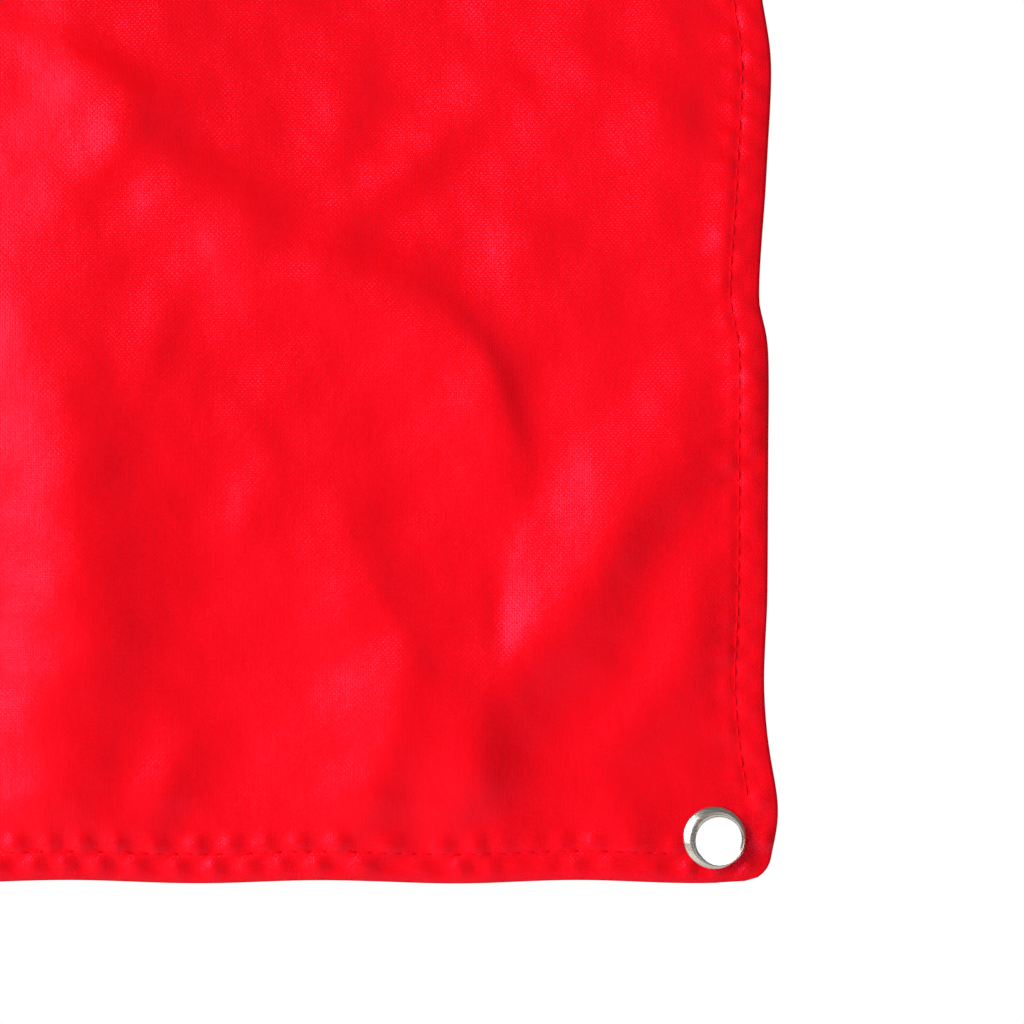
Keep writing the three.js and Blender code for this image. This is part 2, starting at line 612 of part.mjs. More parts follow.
function mouthBand(holes) {
  const band = ring(BAND_INNER, BAND_INNER + BAND_THICK, 0, BAND_WIDTH, 40)
    .rotateY(Math.PI / 2)
    .translate(HOOP_X + SOCK_START, 0, HOOP_Z);
  add("mouth_band", cut(band, ...holes), redWebbing);
}

function sock() {
  const hole = EYELET_BARREL + GAP;
  const radialHoles = mouthEyeletAngles().map((angle) =>
    new THREE.CylinderGeometry(hole, hole, 40, 16)
      .rotateX(Math.PI / 2)
      .translate(HOOP_X + MOUTH_EYELET_X, 0, MOUTH_GRIP_MIDDLE)
      .rotateX(angle - Math.PI / 2)
      .translate(0, 0, HOOP_Z));
  const tailX = HOOP_X + SOCK_START + SOCK_LENGTH - TAIL_EYELET_FROM_END;
  const tailMiddle = HOOP_Z - sockSag(SOCK_LENGTH);
  const tailReach = sockHalfHeight(SOCK_LENGTH) - TAIL_EYELET_FROM_SEAM;
  const tailCorners = { lower: tailMiddle - tailReach, upper: tailMiddle + tailReach };
  const tailHoles = Object.values(tailCorners).map((z) =>
    new THREE.CylinderGeometry(hole, hole, 40, 16).translate(tailX, 0, z));

  add("right_sock_panel", cut(sockPanel(-1), ...radialHoles, ...tailHoles), redCloth);
  add("left_sock_panel", cut(sockPanel(1), ...radialHoles, ...tailHoles), redCloth);
  mouthBand(radialHoles);

  mouthEyeletAngles().forEach((angle, i) => {
    const eyelet = turned(eyeletProfile(MOUTH_GRIP), 16)
      .translate(HOOP_X + MOUTH_EYELET_X, 0, MOUTH_GRIP_MIDDLE)
      .rotateX(angle - Math.PI / 2)
      .translate(0, 0, HOOP_Z);
    add(`mouth_eyelet_${i + 1}`, eyelet, nickel);
  });
  const tailGrip = 2 * CLOTH_THICK + GAP + 2 * FLANGE_CLEARANCE;
  for (const [name, z] of Object.entries(tailCorners)) {
    const eyelet = turned(eyeletProfile(tailGrip), 20).rotateX(Math.PI / 2).translate(tailX, 0, z);
    add(`${name}_tail_eyelet`, eyelet, nickel);
  }
  lacing();
}

crossBase();
pole();
swivelHead();
basket();
sock();

export default model;
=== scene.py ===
"""Looks of a portable windsock: a red nylon sock on a swivel head and a telescopic pole.

Metres, +Z up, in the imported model's frame. The camera looks square on at the sock's lower tail corner.
"""

import json
import math

import bpy
import numpy as np
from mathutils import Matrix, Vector

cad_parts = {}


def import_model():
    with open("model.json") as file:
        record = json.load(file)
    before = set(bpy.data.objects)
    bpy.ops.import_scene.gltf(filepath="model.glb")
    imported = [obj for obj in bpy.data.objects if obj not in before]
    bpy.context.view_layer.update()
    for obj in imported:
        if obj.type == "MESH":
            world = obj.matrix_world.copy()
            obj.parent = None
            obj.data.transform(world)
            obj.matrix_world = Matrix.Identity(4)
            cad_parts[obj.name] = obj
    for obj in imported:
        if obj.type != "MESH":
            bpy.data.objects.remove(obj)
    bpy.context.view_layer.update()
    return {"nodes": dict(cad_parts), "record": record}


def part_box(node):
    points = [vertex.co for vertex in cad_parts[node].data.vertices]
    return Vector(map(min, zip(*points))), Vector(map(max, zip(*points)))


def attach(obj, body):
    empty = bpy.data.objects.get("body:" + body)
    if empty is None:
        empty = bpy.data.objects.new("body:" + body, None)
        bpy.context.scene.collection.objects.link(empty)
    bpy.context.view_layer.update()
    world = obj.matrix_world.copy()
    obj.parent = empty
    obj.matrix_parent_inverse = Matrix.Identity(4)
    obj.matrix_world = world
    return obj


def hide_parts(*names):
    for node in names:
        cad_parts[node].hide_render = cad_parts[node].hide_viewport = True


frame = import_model()

MM = 0.001


def middle(node):
    low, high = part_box(node)
    return (low + high) / 2


def size(node):
    low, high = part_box(node)
    return high - low


# ---- sizes taken from the frame

SOCK_LOW, SOCK_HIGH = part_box("right_sock_panel")
MOUTH_X = SOCK_LOW.x
SOCK_LENGTH = SOCK_HIGH.x - SOCK_LOW.x
HOOP = middle("front_hoop")
TAIL_EYELET = middle("lower_tail_eyelet")
WALL = 1.5 * MM  # of the CAD's sock panels
MOUTH_RADIUS = SOCK_HIGH.z - HOOP.z - WALL

# The sock's form, as its CAD panels have it
BAND_WIDTH = 30 * MM
TAIL_RADIUS = 60 * MM
CONE_END = 640 * MM
FLAT_START = 260 * MM
FLAT_END = 800 * MM
TAIL_SHARE = 0.1  # how open the flat tail is, where 1 is round
SAG = 0.45 * math.tan(math.radians(8)) * (FLAT_END - FLAT_START + 20 * MM)

# Cloth and sewing
CLOTH = 0.4 * MM
HEM_THICK = 1.0 * MM
CLOTH_IN_WALL = 1.0 * MM  # the cloth's outer face lies this far out in the CAD's thicker wall
SEAM_WIDTH = 7 * MM
HEM_WIDTH = 7 * MM
STITCH_LINE = 5.2 * MM  # from an edge
STITCH = 2.6 * MM
BAND_STITCH = 3 * MM
STITCH_HALF = 0.42  # share of a stitch's spacing that shows on each side of its middle
THREAD_RADIUS = 0.14 * MM
BAND_THREAD_RADIUS = 0.22 * MM
PUCKER = 6.4 * MM  # wavelength of the little pillows that the stitches draw up
CORNER_ROUND = 4 * MM
HEM_SET_BACK = 2.0 * MM  # the tail hem stands back from the corner, which the eyelet stretches

# The webbing round the mouth
BAND_THICK = 1.5 * MM
BAND_RADIUS = size("mouth_band").z / 2 - BAND_THICK / 2
BAND_GIRTH = math.tau * BAND_RADIUS
BAND_STITCHES = (3 * MM, 27 * MM)  # the two rows' distances from the mouth


# ---- materials

TWISTS_PER_METRE = 2400.0  # of the sewing thread
BRAID_STRANDS = 4
BRAID_LAY = 3.2 * MM  # in the cord's bump
BRAID_RIPPLE = 3.4 * MM  # in its shape


MATERIALS = {}  # by name, which is the record's slot


class Nodes:
    """A short way to write a material: most methods make one node and return its output."""

    def __init__(self, name):
        self.material = MATERIALS[name] = bpy.data.materials.new(name)
        self.material.use_nodes = True
        self.tree = self.material.node_tree
        self.shader = self.tree.nodes["Principled BSDF"]

    def make(self, kind, inputs=(), output=0, **settings):
        node = self.tree.nodes.new(kind)
        for key, value in settings.items():
            setattr(node, key, value)
        for key, value in dict(inputs).items():
            self.put(node.inputs[key], value)
        return node.outputs[output]

    def put(self, socket, value):
        if isinstance(value, bpy.types.NodeSocket):
            self.tree.links.new(value, socket)
        elif socket.type == "RGBA":
            socket.default_value = (*value, 1)
        else:
            socket.default_value = value

    def math(self, operation, a, b=0.0):
        return self.make("ShaderNodeMath", {0: a, 1: b}, operation=operation)

    def position(self):
        return self.make("ShaderNodeTexCoord", output="Object")

    def uv(self):
        split = self.tree.nodes.new("ShaderNodeSeparateXYZ")
        self.put(split.inputs[0], self.make("ShaderNodeTexCoord", output="UV"))
        return split.outputs[0], split.outputs[1]

    def noise(self, scale, detail=3.0, vector=None, stretch=None):
        vector = vector or self.position()
        if stretch:
            vector = self.make("ShaderNodeMapping", {"Vector": vector, "Scale": stretch})
        return self.make("ShaderNodeTexNoise", {"Vector": vector, "Scale": scale, "Detail": detail})

    def ramp(self, value, low, high, from_low=0.3, from_high=0.7):
        inputs = {
            "Value": value, "From Min": from_low, "From Max": from_high, "To Min": low, "To Max": high,
        }
        return self.make("ShaderNodeMapRange", inputs)

    def mix(self, factor, a, b):
        node = self.tree.nodes.new("ShaderNodeMix")
        node.data_type = "RGBA"
        self.put(node.inputs[0], factor)
        self.put(node.inputs[6], a)
        self.put(node.inputs[7], b)
        return node.outputs[2]

    def bump(self, height, distance, strength=1.0, normal=None):
        inputs = {"Height": height, "Distance": distance, "Strength": strength}
        if normal:
            inputs["Normal"] = normal
        return self.make("ShaderNodeBump", inputs)

    def finish(self, **inputs):
        for key, value in inputs.items():
            self.put(self.shader.inputs[key.replace("_", " ")], value)
        return self.material


def darker(colour, share):
    return tuple(share * c for c in colour)


def weave(n, pitch_u, pitch_v):
    """Height of a plain weave, 0 to 1, over UVs in metres."""
    u, v = n.uv()
    u = n.math("MULTIPLY", u, math.pi / pitch_u)
    v = n.math("MULTIPLY", v, math.pi / pitch_v)
    over = n.math("MULTIPLY", n.math("SINE", u), n.math("SINE", v))
    along = n.math("ABSOLUTE", n.math("COSINE", u))
    across = n.math("ABSOLUTE", n.math("COSINE", v))
    warp = n.math("MULTIPLY", n.math("MAXIMUM", over, 0.0), along)
    weft = n.math("MULTIPLY", n.math("MAXIMUM", n.math("MULTIPLY", over, -1.0), 0.0), across)
    return n.math("ADD", warp, weft)


def nylon():
    """Its roughness stays above 0.28: below that, the denoiser draws thin lines where it changes."""
    n = Nodes("red_nylon")
    blotch = n.noise(14, 2.0)
    fibre = n.noise(900, 2.0, stretch=(1, 1, 0.25))
    mixed = n.math("ADD", n.math("MULTIPLY", blotch, 0.7), n.math("MULTIPLY", fibre, 0.3))
    shade = n.ramp(mixed, 0.0, 1.0)
    colour = n.mix(shade, (0.89, 0.0002, 0.0006), (0.96, 0.0004, 0.0014))
    threads = n.bump(weave(n, 0.45 * MM, 0.45 * MM), 0.06 * MM, 0.8)
    slub = n.bump(n.noise(420, 3.0), 0.2 * MM, 0.5, threads)
    return n.finish(
        Base_Color=colour,
        Roughness=n.ramp(blotch, 0.285, 0.34),
        Specular_IOR_Level=0.31,
        Specular_Tint=(1.0, 0.3, 0.9),
        Sheen_Weight=0.02,
        Sheen_Roughness=0.3,
        Sheen_Tint=(1.0, 0.3, 0.8),
        Normal=slub,
    )


def webbing():
    n = Nodes("red_webbing")
    rib = n.bump(weave(n, 1.6 * MM, 0.9 * MM), 0.35 * MM, 0.8)
    worn = n.ramp(n.noise(40, 4.0), 0.0, 1.0)
    colour = n.mix(worn, (0.56, 0.004, 0.010), (0.68, 0.008, 0.018))
    return n.finish(
        Base_Color=colour, Roughness=0.75, Sheen_Weight=0.4, Sheen_Roughness=0.4,
        Sheen_Tint=(1.0, 0.4, 0.5), Normal=rib,
    )


def thread(name, colour):
    n = Nodes(name)
    length, around = n.uv()
    turn = n.math("ADD", n.math("MULTIPLY", length, TWISTS_PER_METRE), around)
    twist = n.math("SINE", n.math("MULTIPLY", turn, math.tau))
    fuzz = n.ramp(n.noise(1500, 2.0), 0.75, 1.0)
    shade = n.mix(fuzz, darker(colour, 0.8), colour)
    return n.finish(
        Base_Color=shade, Roughness=0.7, Specular_IOR_Level=0.2, Specular_Tint=(1.0, 0.3, 0.9),
        Normal=n.bump(twist, 0.1 * MM, 0.6),
    )


def braid():
    """A braided cord: two families of strands that cross, over UVs of length and turn."""
    n = Nodes("white_cord")
    u, v = n.uv()
    along = n.math("MULTIPLY", u, math.tau / BRAID_LAY)
    around = n.math("MULTIPLY", v, math.tau * BRAID_STRANDS)
    left = n.math("SINE", n.math("ADD", along, around))
    right = n.math("SINE", n.math("SUBTRACT", along, around))
    height = n.math("MAXIMUM", left, right)
    dirt = n.ramp(n.noise(60, 4.0), 0.0, 1.0)
    colour = n.mix(dirt, (0.60, 0.575, 0.53), (0.80, 0.78, 0.73))
    return n.finish(
        Base_Color=colour, Roughness=0.85, Sheen_Weight=0.3, Sheen_Roughness=0.5,
        Normal=n.bump(height, 0.3 * MM, 0.8),
    )


def polished(name, colour, roughness, tarnish):
    """Plated or ground metal with faint scratches and a little tarnish."""
    n = Nodes(name)
    patch = n.ramp(n.noise(90, 3.0), 0.0, 0.6, 0.4, 0.8)
    scratch = n.noise(500, 2.0, stretch=(1, 1, 12))
    shade = n.mix(patch, colour, tarnish)
    return n.finish(
        Base_Color=shade, Metallic=1.0, Roughness=n.ramp(scratch, roughness * 0.8, roughness * 1.5),
        Normal=n.bump(scratch, 0.02 * MM, 0.3),
    )


def brushed(name, colour, roughness, stretch):
    """Drawn or turned metal: fine lines along one direction."""
    n = Nodes(name)
    line = n.noise(700, 3.0, stretch=stretch)
    smudge = n.ramp(n.noise(9, 4.0), 0.0, 1.0)
    shade = n.mix(smudge, colour, darker(colour, 0.86))
    return n.finish(
        Base_Color=shade, Metallic=1.0, Roughness=n.ramp(line, roughness * 0.85, roughness * 1.25),
        Normal=n.bump(line, 0.03 * MM, 0.35),
    )


def powder_coat():
    n = Nodes("black_powder_coat")
    peel = n.noise(650, 2.0)
    dust = n.ramp(n.noise(12, 6.0), 0.0, 1.0, 0.45, 0.8)
    colour = n.mix(dust, (0.018, 0.018, 0.02), (0.05, 0.048, 0.046))
    return n.finish(
        Base_Color=colour, Roughness=n.ramp(dust, 0.38, 0.55), Coat_Weight=0.15, Coat_Roughness=0.3,
        Normal=n.bump(peel, 0.12 * MM, 0.5),
    )


def moulded(name, colour, roughness, grain):
    """Moulded plastic or rubber with a fine spark-eroded texture."""
    n = Nodes(name)
    texture = n.noise(grain, 3.0)
    dust = n.ramp(n.noise(20, 6.0), 0.0, 1.0, 0.45, 0.8)
    shade = n.mix(dust, colour, tuple(c + 0.03 for c in colour))
    return n.finish(
        Base_Color=shade, Roughness=n.ramp(texture, roughness * 0.9, roughness * 1.1),
        Normal=n.bump(texture, 0.08 * MM, 0.5),
    )


nylon()
webbing()
braid()
polished("nickel_brass", (0.70, 0.66, 0.60), 0.23, (0.58, 0.52, 0.44))
polished("bearing_steel", (0.55, 0.55, 0.56), 0.18, (0.42, 0.42, 0.42))
brushed("zinc_steel", (0.60, 0.61, 0.63), 0.3, (1, 1, 1))
brushed("anodised_aluminium", (0.50, 0.51, 0.53), 0.36, (1, 1, 0.02))
powder_coat()
moulded("black_plastic", (0.018, 0.018, 0.02), 0.5, 1100)
moulded("rubber", (0.022, 0.022, 0.023), 0.85, 700)
RED_THREAD = thread("red_thread", (0.97, 0.0008, 0.004))


# ---- mesh helpers


def add_object(name, data):
    piece = bpy.data.objects.new(name, data)
    bpy.context.scene.collection.objects.link(piece)
    return piece


def modify(piece, kind, **settings):
    modifier = piece.modifiers.new(kind.lower(), kind)
    for key, value in settings.items():
        setattr(modifier, key, value)


def mesh_object(name, points, faces, uvs=None):
    mesh = bpy.data.meshes.new(name)
    mesh.from_pydata(np.asarray(points).tolist(), [], [list(face) for face in faces])
    if uvs is not None:
        corners = np.zeros(len(mesh.loops), np.int32)
        mesh.loops.foreach_get("vertex_index", corners)
        layer = mesh.uv_layers.new(name="cloth")
        layer.data.foreach_set("uv", np.asarray(uvs, np.float32)[corners].ravel())
    mesh.polygons.foreach_set("use_smooth", np.ones(len(mesh.polygons), bool))
    mesh.update()
    return add_object(name, mesh)


def finish_piece(piece, slot, node, material=None):
    """Gives a piece its material, the record slot's own unless another is given, and rides it on a CAD
    node's body.
    """
    piece.data.materials.clear()
    piece.data.materials.append(material or MATERIALS[slot])
    bodies = frame["record"]["behaviour"]["bodies"]
    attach(piece, next(body for body, nodes in bodies.items() if node in nodes))
    return piece


def replace(piece, slot, node):
    finish_piece(piece, slot, node)
    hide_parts(node)


def grid_faces(rows, columns, wrap_rows=False, wrap_columns=False):
    i, j = np.meshgrid(
        np.arange(rows if wrap_rows else rows - 1),
        np.arange(columns if wrap_columns else columns - 1),
        indexing="ij",
    )
    down, right = (i + 1) % rows, (j + 1) % columns
    corners = [i * columns + j, i * columns + right, down * columns + right, down * columns + j]
    return np.stack(corners, -1).reshape(-1, 4)


def full_turn(count):
    return np.linspace(0, math.tau, count, endpoint=False)


def arc_lengths(path):
    """The distance along a path of each of its points."""
    return np.concatenate([[0], np.cumsum(np.linalg.norm(np.diff(path, axis=0), axis=1))])


def path_at(path, marks):
    """The path's points at the distances that marks gives."""
    along = arc_lengths(path)
    return np.stack([np.interp(marks, along, path[:, axis]) for axis in range(path.shape[1])], -1)


def unit(vectors):
    return vectors / np.linalg.norm(vectors, axis=-1, keepdims=True)


def ring_points(path, side, up, radii, sides):
    """Points of a tube's rings about its path. side and up are the axes of each ring."""
    turn = math.tau * (np.arange(sides) / sides)
    rim = side[:, None] * np.cos(turn)[None, :, None] + up[:, None] * np.sin(turn)[None, :, None]
    return (path[:, None] + radii[..., None] * rim).reshape(-1, 3)


def tube_faces(count, sides, closed=False, capped=True):
    faces = grid_faces(count, sides, closed, True).tolist()
    if capped and not closed:
        faces.append(list(range(sides))[::-1])
        faces.append(list(range((count - 1) * sides, count * sides)))
    return faces


def swept(name, path, radius, sides=12, closed=True, relief=None):
    """A round tube along a path. UVs are the length in metres and the turn from 0 to 1.

    The radius is one number or one for each point, and relief(length, turn) scales it.
    """
    path = np.asarray(path, float)
    count = len(path)
    ahead = unit(np.roll(path, -1, 0) - np.roll(path, 1, 0) if closed else np.gradient(path, axis=0))
    side = [np.cross(ahead[0], (0.3, 0.5, 0.8))]
    for direction in ahead:
        side.append(unit(side[-1] - direction * (side[-1] @ direction)))
    side = np.array(side[1:])
    turn = np.arange(sides) / sides
    length = arc_lengths(path)
    radii = np.broadcast_to(radius, (count,))[:, None] * np.ones(sides)
    if relief:
        radii = radii * relief(length[:, None], turn[None, :])
    points = ring_points(path, side, np.cross(ahead, side), radii, sides)
    uvs = np.stack(np.broadcast_arrays(length[:, None], turn[None, :]), -1).reshape(-1, 2)
    return mesh_object(name, points, tube_faces(count, sides, closed), uvs)


def join(name, pieces):
    """One object from several."""
    bpy.ops.object.select_all(action="DESELECT")
    for piece in pieces:
        piece.select_set(True)
    bpy.context.view_layer.objects.active = pieces[0]
    bpy.ops.object.join()
    pieces[0].name = name
    pieces[0].data.name = name
    return pieces[0]


# ---- sock form


def smooth(low, high, s):
    share = np.clip((s - low) / (high - low), 0, 1)
    return share * share * (3 - 2 * share)


def bell(x, centre, width):
    return np.exp(-(((x - centre) / width) ** 2))


def outwards(node):
    """The direction from the mouth's axis to a node."""
    centre = middle(node)
    return Vector((0, centre.y, centre.z - HOOP.z)).normalized()


def unrolled_section(s):
    """The plain sock at a distance s from its mouth, as the inner face of its CAD panel has it.

    Gives distances round it from the bottom seam, and the offsets outwards and up there.
    """
    taper = np.clip((s - BAND_WIDTH) / (CONE_END - BAND_WIDTH), 0, 1)
    radius = MOUTH_RADIUS + (TAIL_RADIUS - MOUTH_RADIUS) * taper
    openness = 1 + (TAIL_SHARE - 1) * smooth(FLAT_START, FLAT_END, s)
    half_height = radius * np.sqrt(2 - openness**2) * (1 + 0.11 * (1 - openness) ** 2)
    angle = np.linspace(0, math.pi, 400)
    out = radius * openness * np.sin(angle) ** (1 + 3 * (1 - openness))
    up = -half_height * np.cos(angle) - SAG * smooth(FLAT_START - 20 * MM, FLAT_END, s)
    arc = np.concatenate([[0], np.cumsum(np.hypot(np.diff(out), np.diff(up)))])
    return arc, out, up


def around_mouth(x, radius, angle):
    """Points on a circle about the mouth's axis, from the +Y side upwards."""
    return np.stack(np.broadcast_arrays(x, radius * np.cos(angle), HOOP.z + radius * np.sin(angle)), -1)


def steps(*stretches):
    """Positions from 0 along stretches of (length, spacing)."""
    marks = [0.0]
    for length, spacing in stretches:
        count = max(1, round(length / spacing))
        marks.extend(marks[-1] + length * (np.arange(count) + 1) / count)
    return np.array(marks)


# The panels' grid, from the mouth to the tail hem and from seam to seam: fine where there is sewing
FINE = 0.65 * MM
FINE_WIDTH = 16 * MM
MOUTH_LENGTH = 36 * MM
TAIL_LENGTH = 130 * MM
S_ROWS = steps(
    (MOUTH_LENGTH, 2 * MM),
    (SOCK_LENGTH - MOUTH_LENGTH - TAIL_LENGTH - FINE_WIDTH, 6 * MM),
    (TAIL_LENGTH, 1.3 * MM),
    (FINE_WIDTH, FINE),
)
SEAM_COLUMNS = steps((FINE_WIDTH, FINE))
MIDDLE_COLUMNS = 110


def girth_positions(length):
    """Distances round the cloth from the bottom seam: fine beside both seams, even in between."""
    share = np.linspace(0, 1, MIDDLE_COLUMNS + 1)[1:-1]
    between = FINE_WIDTH + share * (length - 2 * FINE_WIDTH)
    return np.concatenate([SEAM_COLUMNS, between, length - SEAM_COLUMNS[::-1]])


def sock_grid():
    """For each row and column: distance s from the mouth, distance w round from the bottom seam, half
    girth, and the plain form's point on the +Y side.
    """
    rows = []
    for s in S_ROWS:
        arc, out, up = unrolled_section(s)
        w = girth_positions(arc[-1])
        rows.append((w, np.interp(w, arc, out), np.interp(w, arc, up), arc[-1]))
    w, out, up, girth = (np.array([row[k] for row in rows]) for k in range(4))
    s = np.broadcast_to(S_ROWS[:, None], w.shape)
    point = np.stack([MOUTH_X + s, out, HOOP.z + up], -1)
    return s, w, np.broadcast_to(girth[:, None], w.shape), point


def grid_normals(point):
    """Unit normals of a grid of points, out of the sock on the +Y side."""
    return unit(np.cross(np.gradient(point, axis=1), np.gradient(point, axis=0)))


# ---- folds and puckers

# The right panel's folds near the tail, in millimetres. Each has its crest's points, (distance from the
# tail hem, height above the bottom seam), then its height, and its half widths upwind and downwind of the
# crest.
TAIL_FOLDS = [
    # the long crest from the top down to the middle, steep on its downwind side
    (((127, 144), (108, 125), (85, 108), (70, 103)), 1.5, 9.0, 7.0),
    (((88, 110), (64, 102), (53, 94), (46, 72)), 2.0, 10.0, 6.0),
    (((57, 98), (49, 89), (45, 71)), 0.9, 7.0, 2.6),
    # the crest from the tail hem down to the bottom seam, with a deep slope below it
    (((5, 85), (15, 77), (26, 67), (33, 51), (41, 39), (53, 32)), 3.0, 11.0, 8.0),
    (((52, 36), (54, 24), (51, 10)), 3.3, 14.0, 7.2),
    # sharp upright crease in the middle
    (((44, 70), (48, 56), (48, 33)), -0.35, 3.6, 2.6),
    # the swell that runs down to the bottom seam
    (((82, 69), (73, 55), (66, 42), (67, 32), (73, 8), (75, -12)), 2.3, 13.0, 6.5),
    # broad upright swell furthest upwind
    (((131, 119), (129, 97), (124, 77), (121, 49), (125, 32), (127, 4), (128, -25)), 3.8, 12.0, 13.0),
    # folds of the upper part
    (((124, 144), (112, 138), (115, 128), (121, 120)), 1.1, 6.0, 4.5),
    (((73, 151), (74, 139), (80, 125)), 0.8, 7.0, 5.0),
    (((75, 117), (64, 125), (54, 134)), 1.2, 4.5, 5.0),
    (((50, 140), (43, 135), (36, 125)), 0.8, 6.0, 5.0),
    (((31, 141), (17, 133), (11, 121)), 1.3, 8.0, 5.0),
    (((52, 117), (43, 109), (36, 97)), 0.9, 8.0, 8.0),
    # folds near the tail hem and the eyelet
    (((9, 63), (12, 49), (19, 28)), 1.3, 6.5, 6.0),
    (((21, 37), (22, 28), (29, 21)), 0.7, 5.0, 5.0),
    (((27, 13), (25, 6), (23, 0)), 1.5, 6.0, 5.5),
    (((8, 124), (6, 112), (6, 103)), 0.7, 3.5, 3.5),
    (((4, 96), (3, 86), (3, 77)), 0.7, 3.5, 3.0),
    # small wrinkles
    (((105, 102), (112, 84)), 0.8, 5.0, 3.5),
    (((102, 85), (95, 83), (88, 74)), 0.35, 2.6, 2.6),
    (((90, 74), (93, 63), (95, 55)), 0.22, 2.6, 2.6),
    (((105, 25), (108, 14), (113, 4)), 1.6, 6.0, 4.5),
]


def rounded_path(points, spacing=1.2, passes=3):
    """Cuts the path's corners and sets its points evenly, with the same ends."""
    points = np.array(points, float)
    for _ in range(passes):
        near = 0.75 * points[:-1] + 0.25 * points[1:]
        far = 0.25 * points[:-1] + 0.75 * points[1:]
        cut = np.stack([near, far], 1).reshape(-1, 2)
        points = np.concatenate([points[:1], cut, points[-1:]])
    length = arc_lengths(points)[-1]
    return path_at(points, np.linspace(0, length, round(length / spacing) + 1))


def fold_height(a, b, crest, height, upwind, downwind, blend=2.0):
    """Height of one soft ridge. Its crest may curve, it fades at both ends, and its two sides differ.

    Each point takes its side and its fade from the stretch of crest nearest to it, blended over a few
    millimetres so that the cloth has no steps in it.
    """
    path = rounded_path(crest)
    ahead = np.gradient(path, axis=0)
    normal = unit(np.stack([-ahead[:, 1], ahead[:, 0]], -1))
    normal *= np.where(normal[:, :1] < 0, -1, 1)
    offset = np.stack([a, b], -1)[..., None, :] - path
    gaps = np.linalg.norm(offset, axis=-1)
    gap = gaps.min(-1)
    weight = np.exp((gap[..., None] - gaps) / blend)
    weight /= weight.sum(-1, keepdims=True)
    side = (weight * (offset * normal).sum(-1)).sum(-1)
    width = downwind + (upwind - downwind) * (0.5 + 0.5 * np.tanh(side / 1.5))
    share = np.linspace(0, 1, len(path))
    fade = weight @ np.sin(math.pi * np.clip(share, 0.04, 0.96)) ** 0.6
    return height * fade * np.exp(-((gap / width) ** 2))


def ripples(a, b, seed, wavelength, waves=7):
    """Sum of a few soft waves in seeded directions, about -1 to 1."""
    random = np.random.default_rng(seed)
    total = np.zeros(a.shape)
    for _ in range(waves):
        direction = random.uniform(0, math.pi)
        number = math.tau / (wavelength * random.uniform(0.7, 1.5))
        phase = random.uniform(0, math.tau)
        total += np.cos(number * (a * math.cos(direction) + b * math.sin(direction)) + phase)
    return total / math.sqrt(waves)


def pillows(along, across, seed):
    """The little pillows that stitches draw up: two staggered rows beside the stitch line, 0 to 1."""
    drift = 0.5 * ripples(along, 0 * along, seed, 36)
    wave = np.cos(math.tau * (along / (PUCKER / MM) + drift))
    uneven = 0.75 + 0.3 * ripples(along, 0 * along, seed + 1, 17)
    line = STITCH_LINE / MM
    above = bell(across, line + 1.5, 1.9) * np.clip(wave, -0.4, 1)
    below = bell(across, line - 2.2, 1.5) * np.clip(-wave, -0.4, 1)
    return uneven * (above + below)


def panel_relief(s, w, girth, side):
    """Height in metres that a panel's cloth stands off its plain form, apart from its sewing.

    Only the right panel, on the -Y side, has the table's folds.
    """
    a, low, high = (SOCK_LENGTH - s) / MM, w / MM, (girth - w) / MM
    seed = 10 if side < 0 else 50
    free = smooth(0, 16, np.minimum(low, high))  # the seams hold the cloth
    tail_rows = a[:, 0] < 190
    folds = np.zeros(a.shape)
    if side < 0:
        for crest, height, upwind, downwind in TAIL_FOLDS:
            fold = fold_height(a[tail_rows], low[tail_rows], crest, height, upwind, downwind)
            folds[tail_rows] += fold
    else:
        folds[tail_rows] = 1.2 * ripples(a, low, seed, 70)[tail_rows]
    relief = (1 - smooth(150, 185, a)) * (0.4 + 0.6 * free) * folds
    relief += (0.16 * ripples(a, low, seed + 3, 16) + 0.035 * ripples(a, low, seed + 4, 6)) * free
    body = smooth(140, 260, a) * (1 - smooth(560, 700, a))
    relief += body * free * 0.8 * ripples(0.35 * a, low, seed + 5, 46)
    return relief * MM


def sewn_relief(s, w, girth):
    """Height in metres from the sewing, alike on both panels: hem steps, stitch grooves and pillows."""
    a, low, high = (SOCK_LENGTH - s) / MM, w / MM, (girth - w) / MM
    line = STITCH_LINE / MM
    relief = np.zeros(a.shape)
    for along, across, width, strength, turned_in, seed in (
        (a, low, SEAM_WIDTH / MM, 0.75 + 0.25 * smooth(40, 80, a), 0.55, 3),
        (a, high, SEAM_WIDTH / MM, 1.0, 0.55, 5),
        (low, a, HEM_WIDTH / MM, 0.75, 0.3, 7),
    ):
        relief += 0.12 * (1 - smooth(width - 1.5, width + 1.5, across))
        relief -= 0.22 * bell(across, line, 0.8)
        relief += strength * 0.75 * pillows(along, across, seed)
        relief -= turned_in * bell(across, 0, 0.9)
    for across in (low, high):
        relief -= 1.5 * bell(np.hypot(a, across), 0, 7)  # the corners curl back
    return relief * MM


# Where the tail hem swings in and out, in millimetres: height above the bottom seam, half widths below and
# above that, and reach.
HEM_SWINGS = [
    (12, 9, 10, 2.1),
    (36, 9, 9, -0.5),
    (102, 5.5, 17, -1.6),
    (142, 11, 9, 0.7),
    (159, 9, 30, -1.2),
]


def hem_shift(w):
    """How far the tail hem stands from its CAD edge, at a distance w round from the bottom seam."""
    b = w / MM
    total = np.full(w.shape, -HEM_SET_BACK)
    for height, below, above, reach in HEM_SWINGS:
        total += reach * MM * bell(b, height, np.where(b < height, below, above))
    return total


def corner_cut(w, girth):
    """How far the rounded corners stand in from the tail hem."""
    near = np.minimum(w, girth - w)
    inside = np.clip(CORNER_ROUND - near, 0, CORNER_ROUND)
    return CORNER_ROUND - np.sqrt(CORNER_ROUND**2 - inside**2)


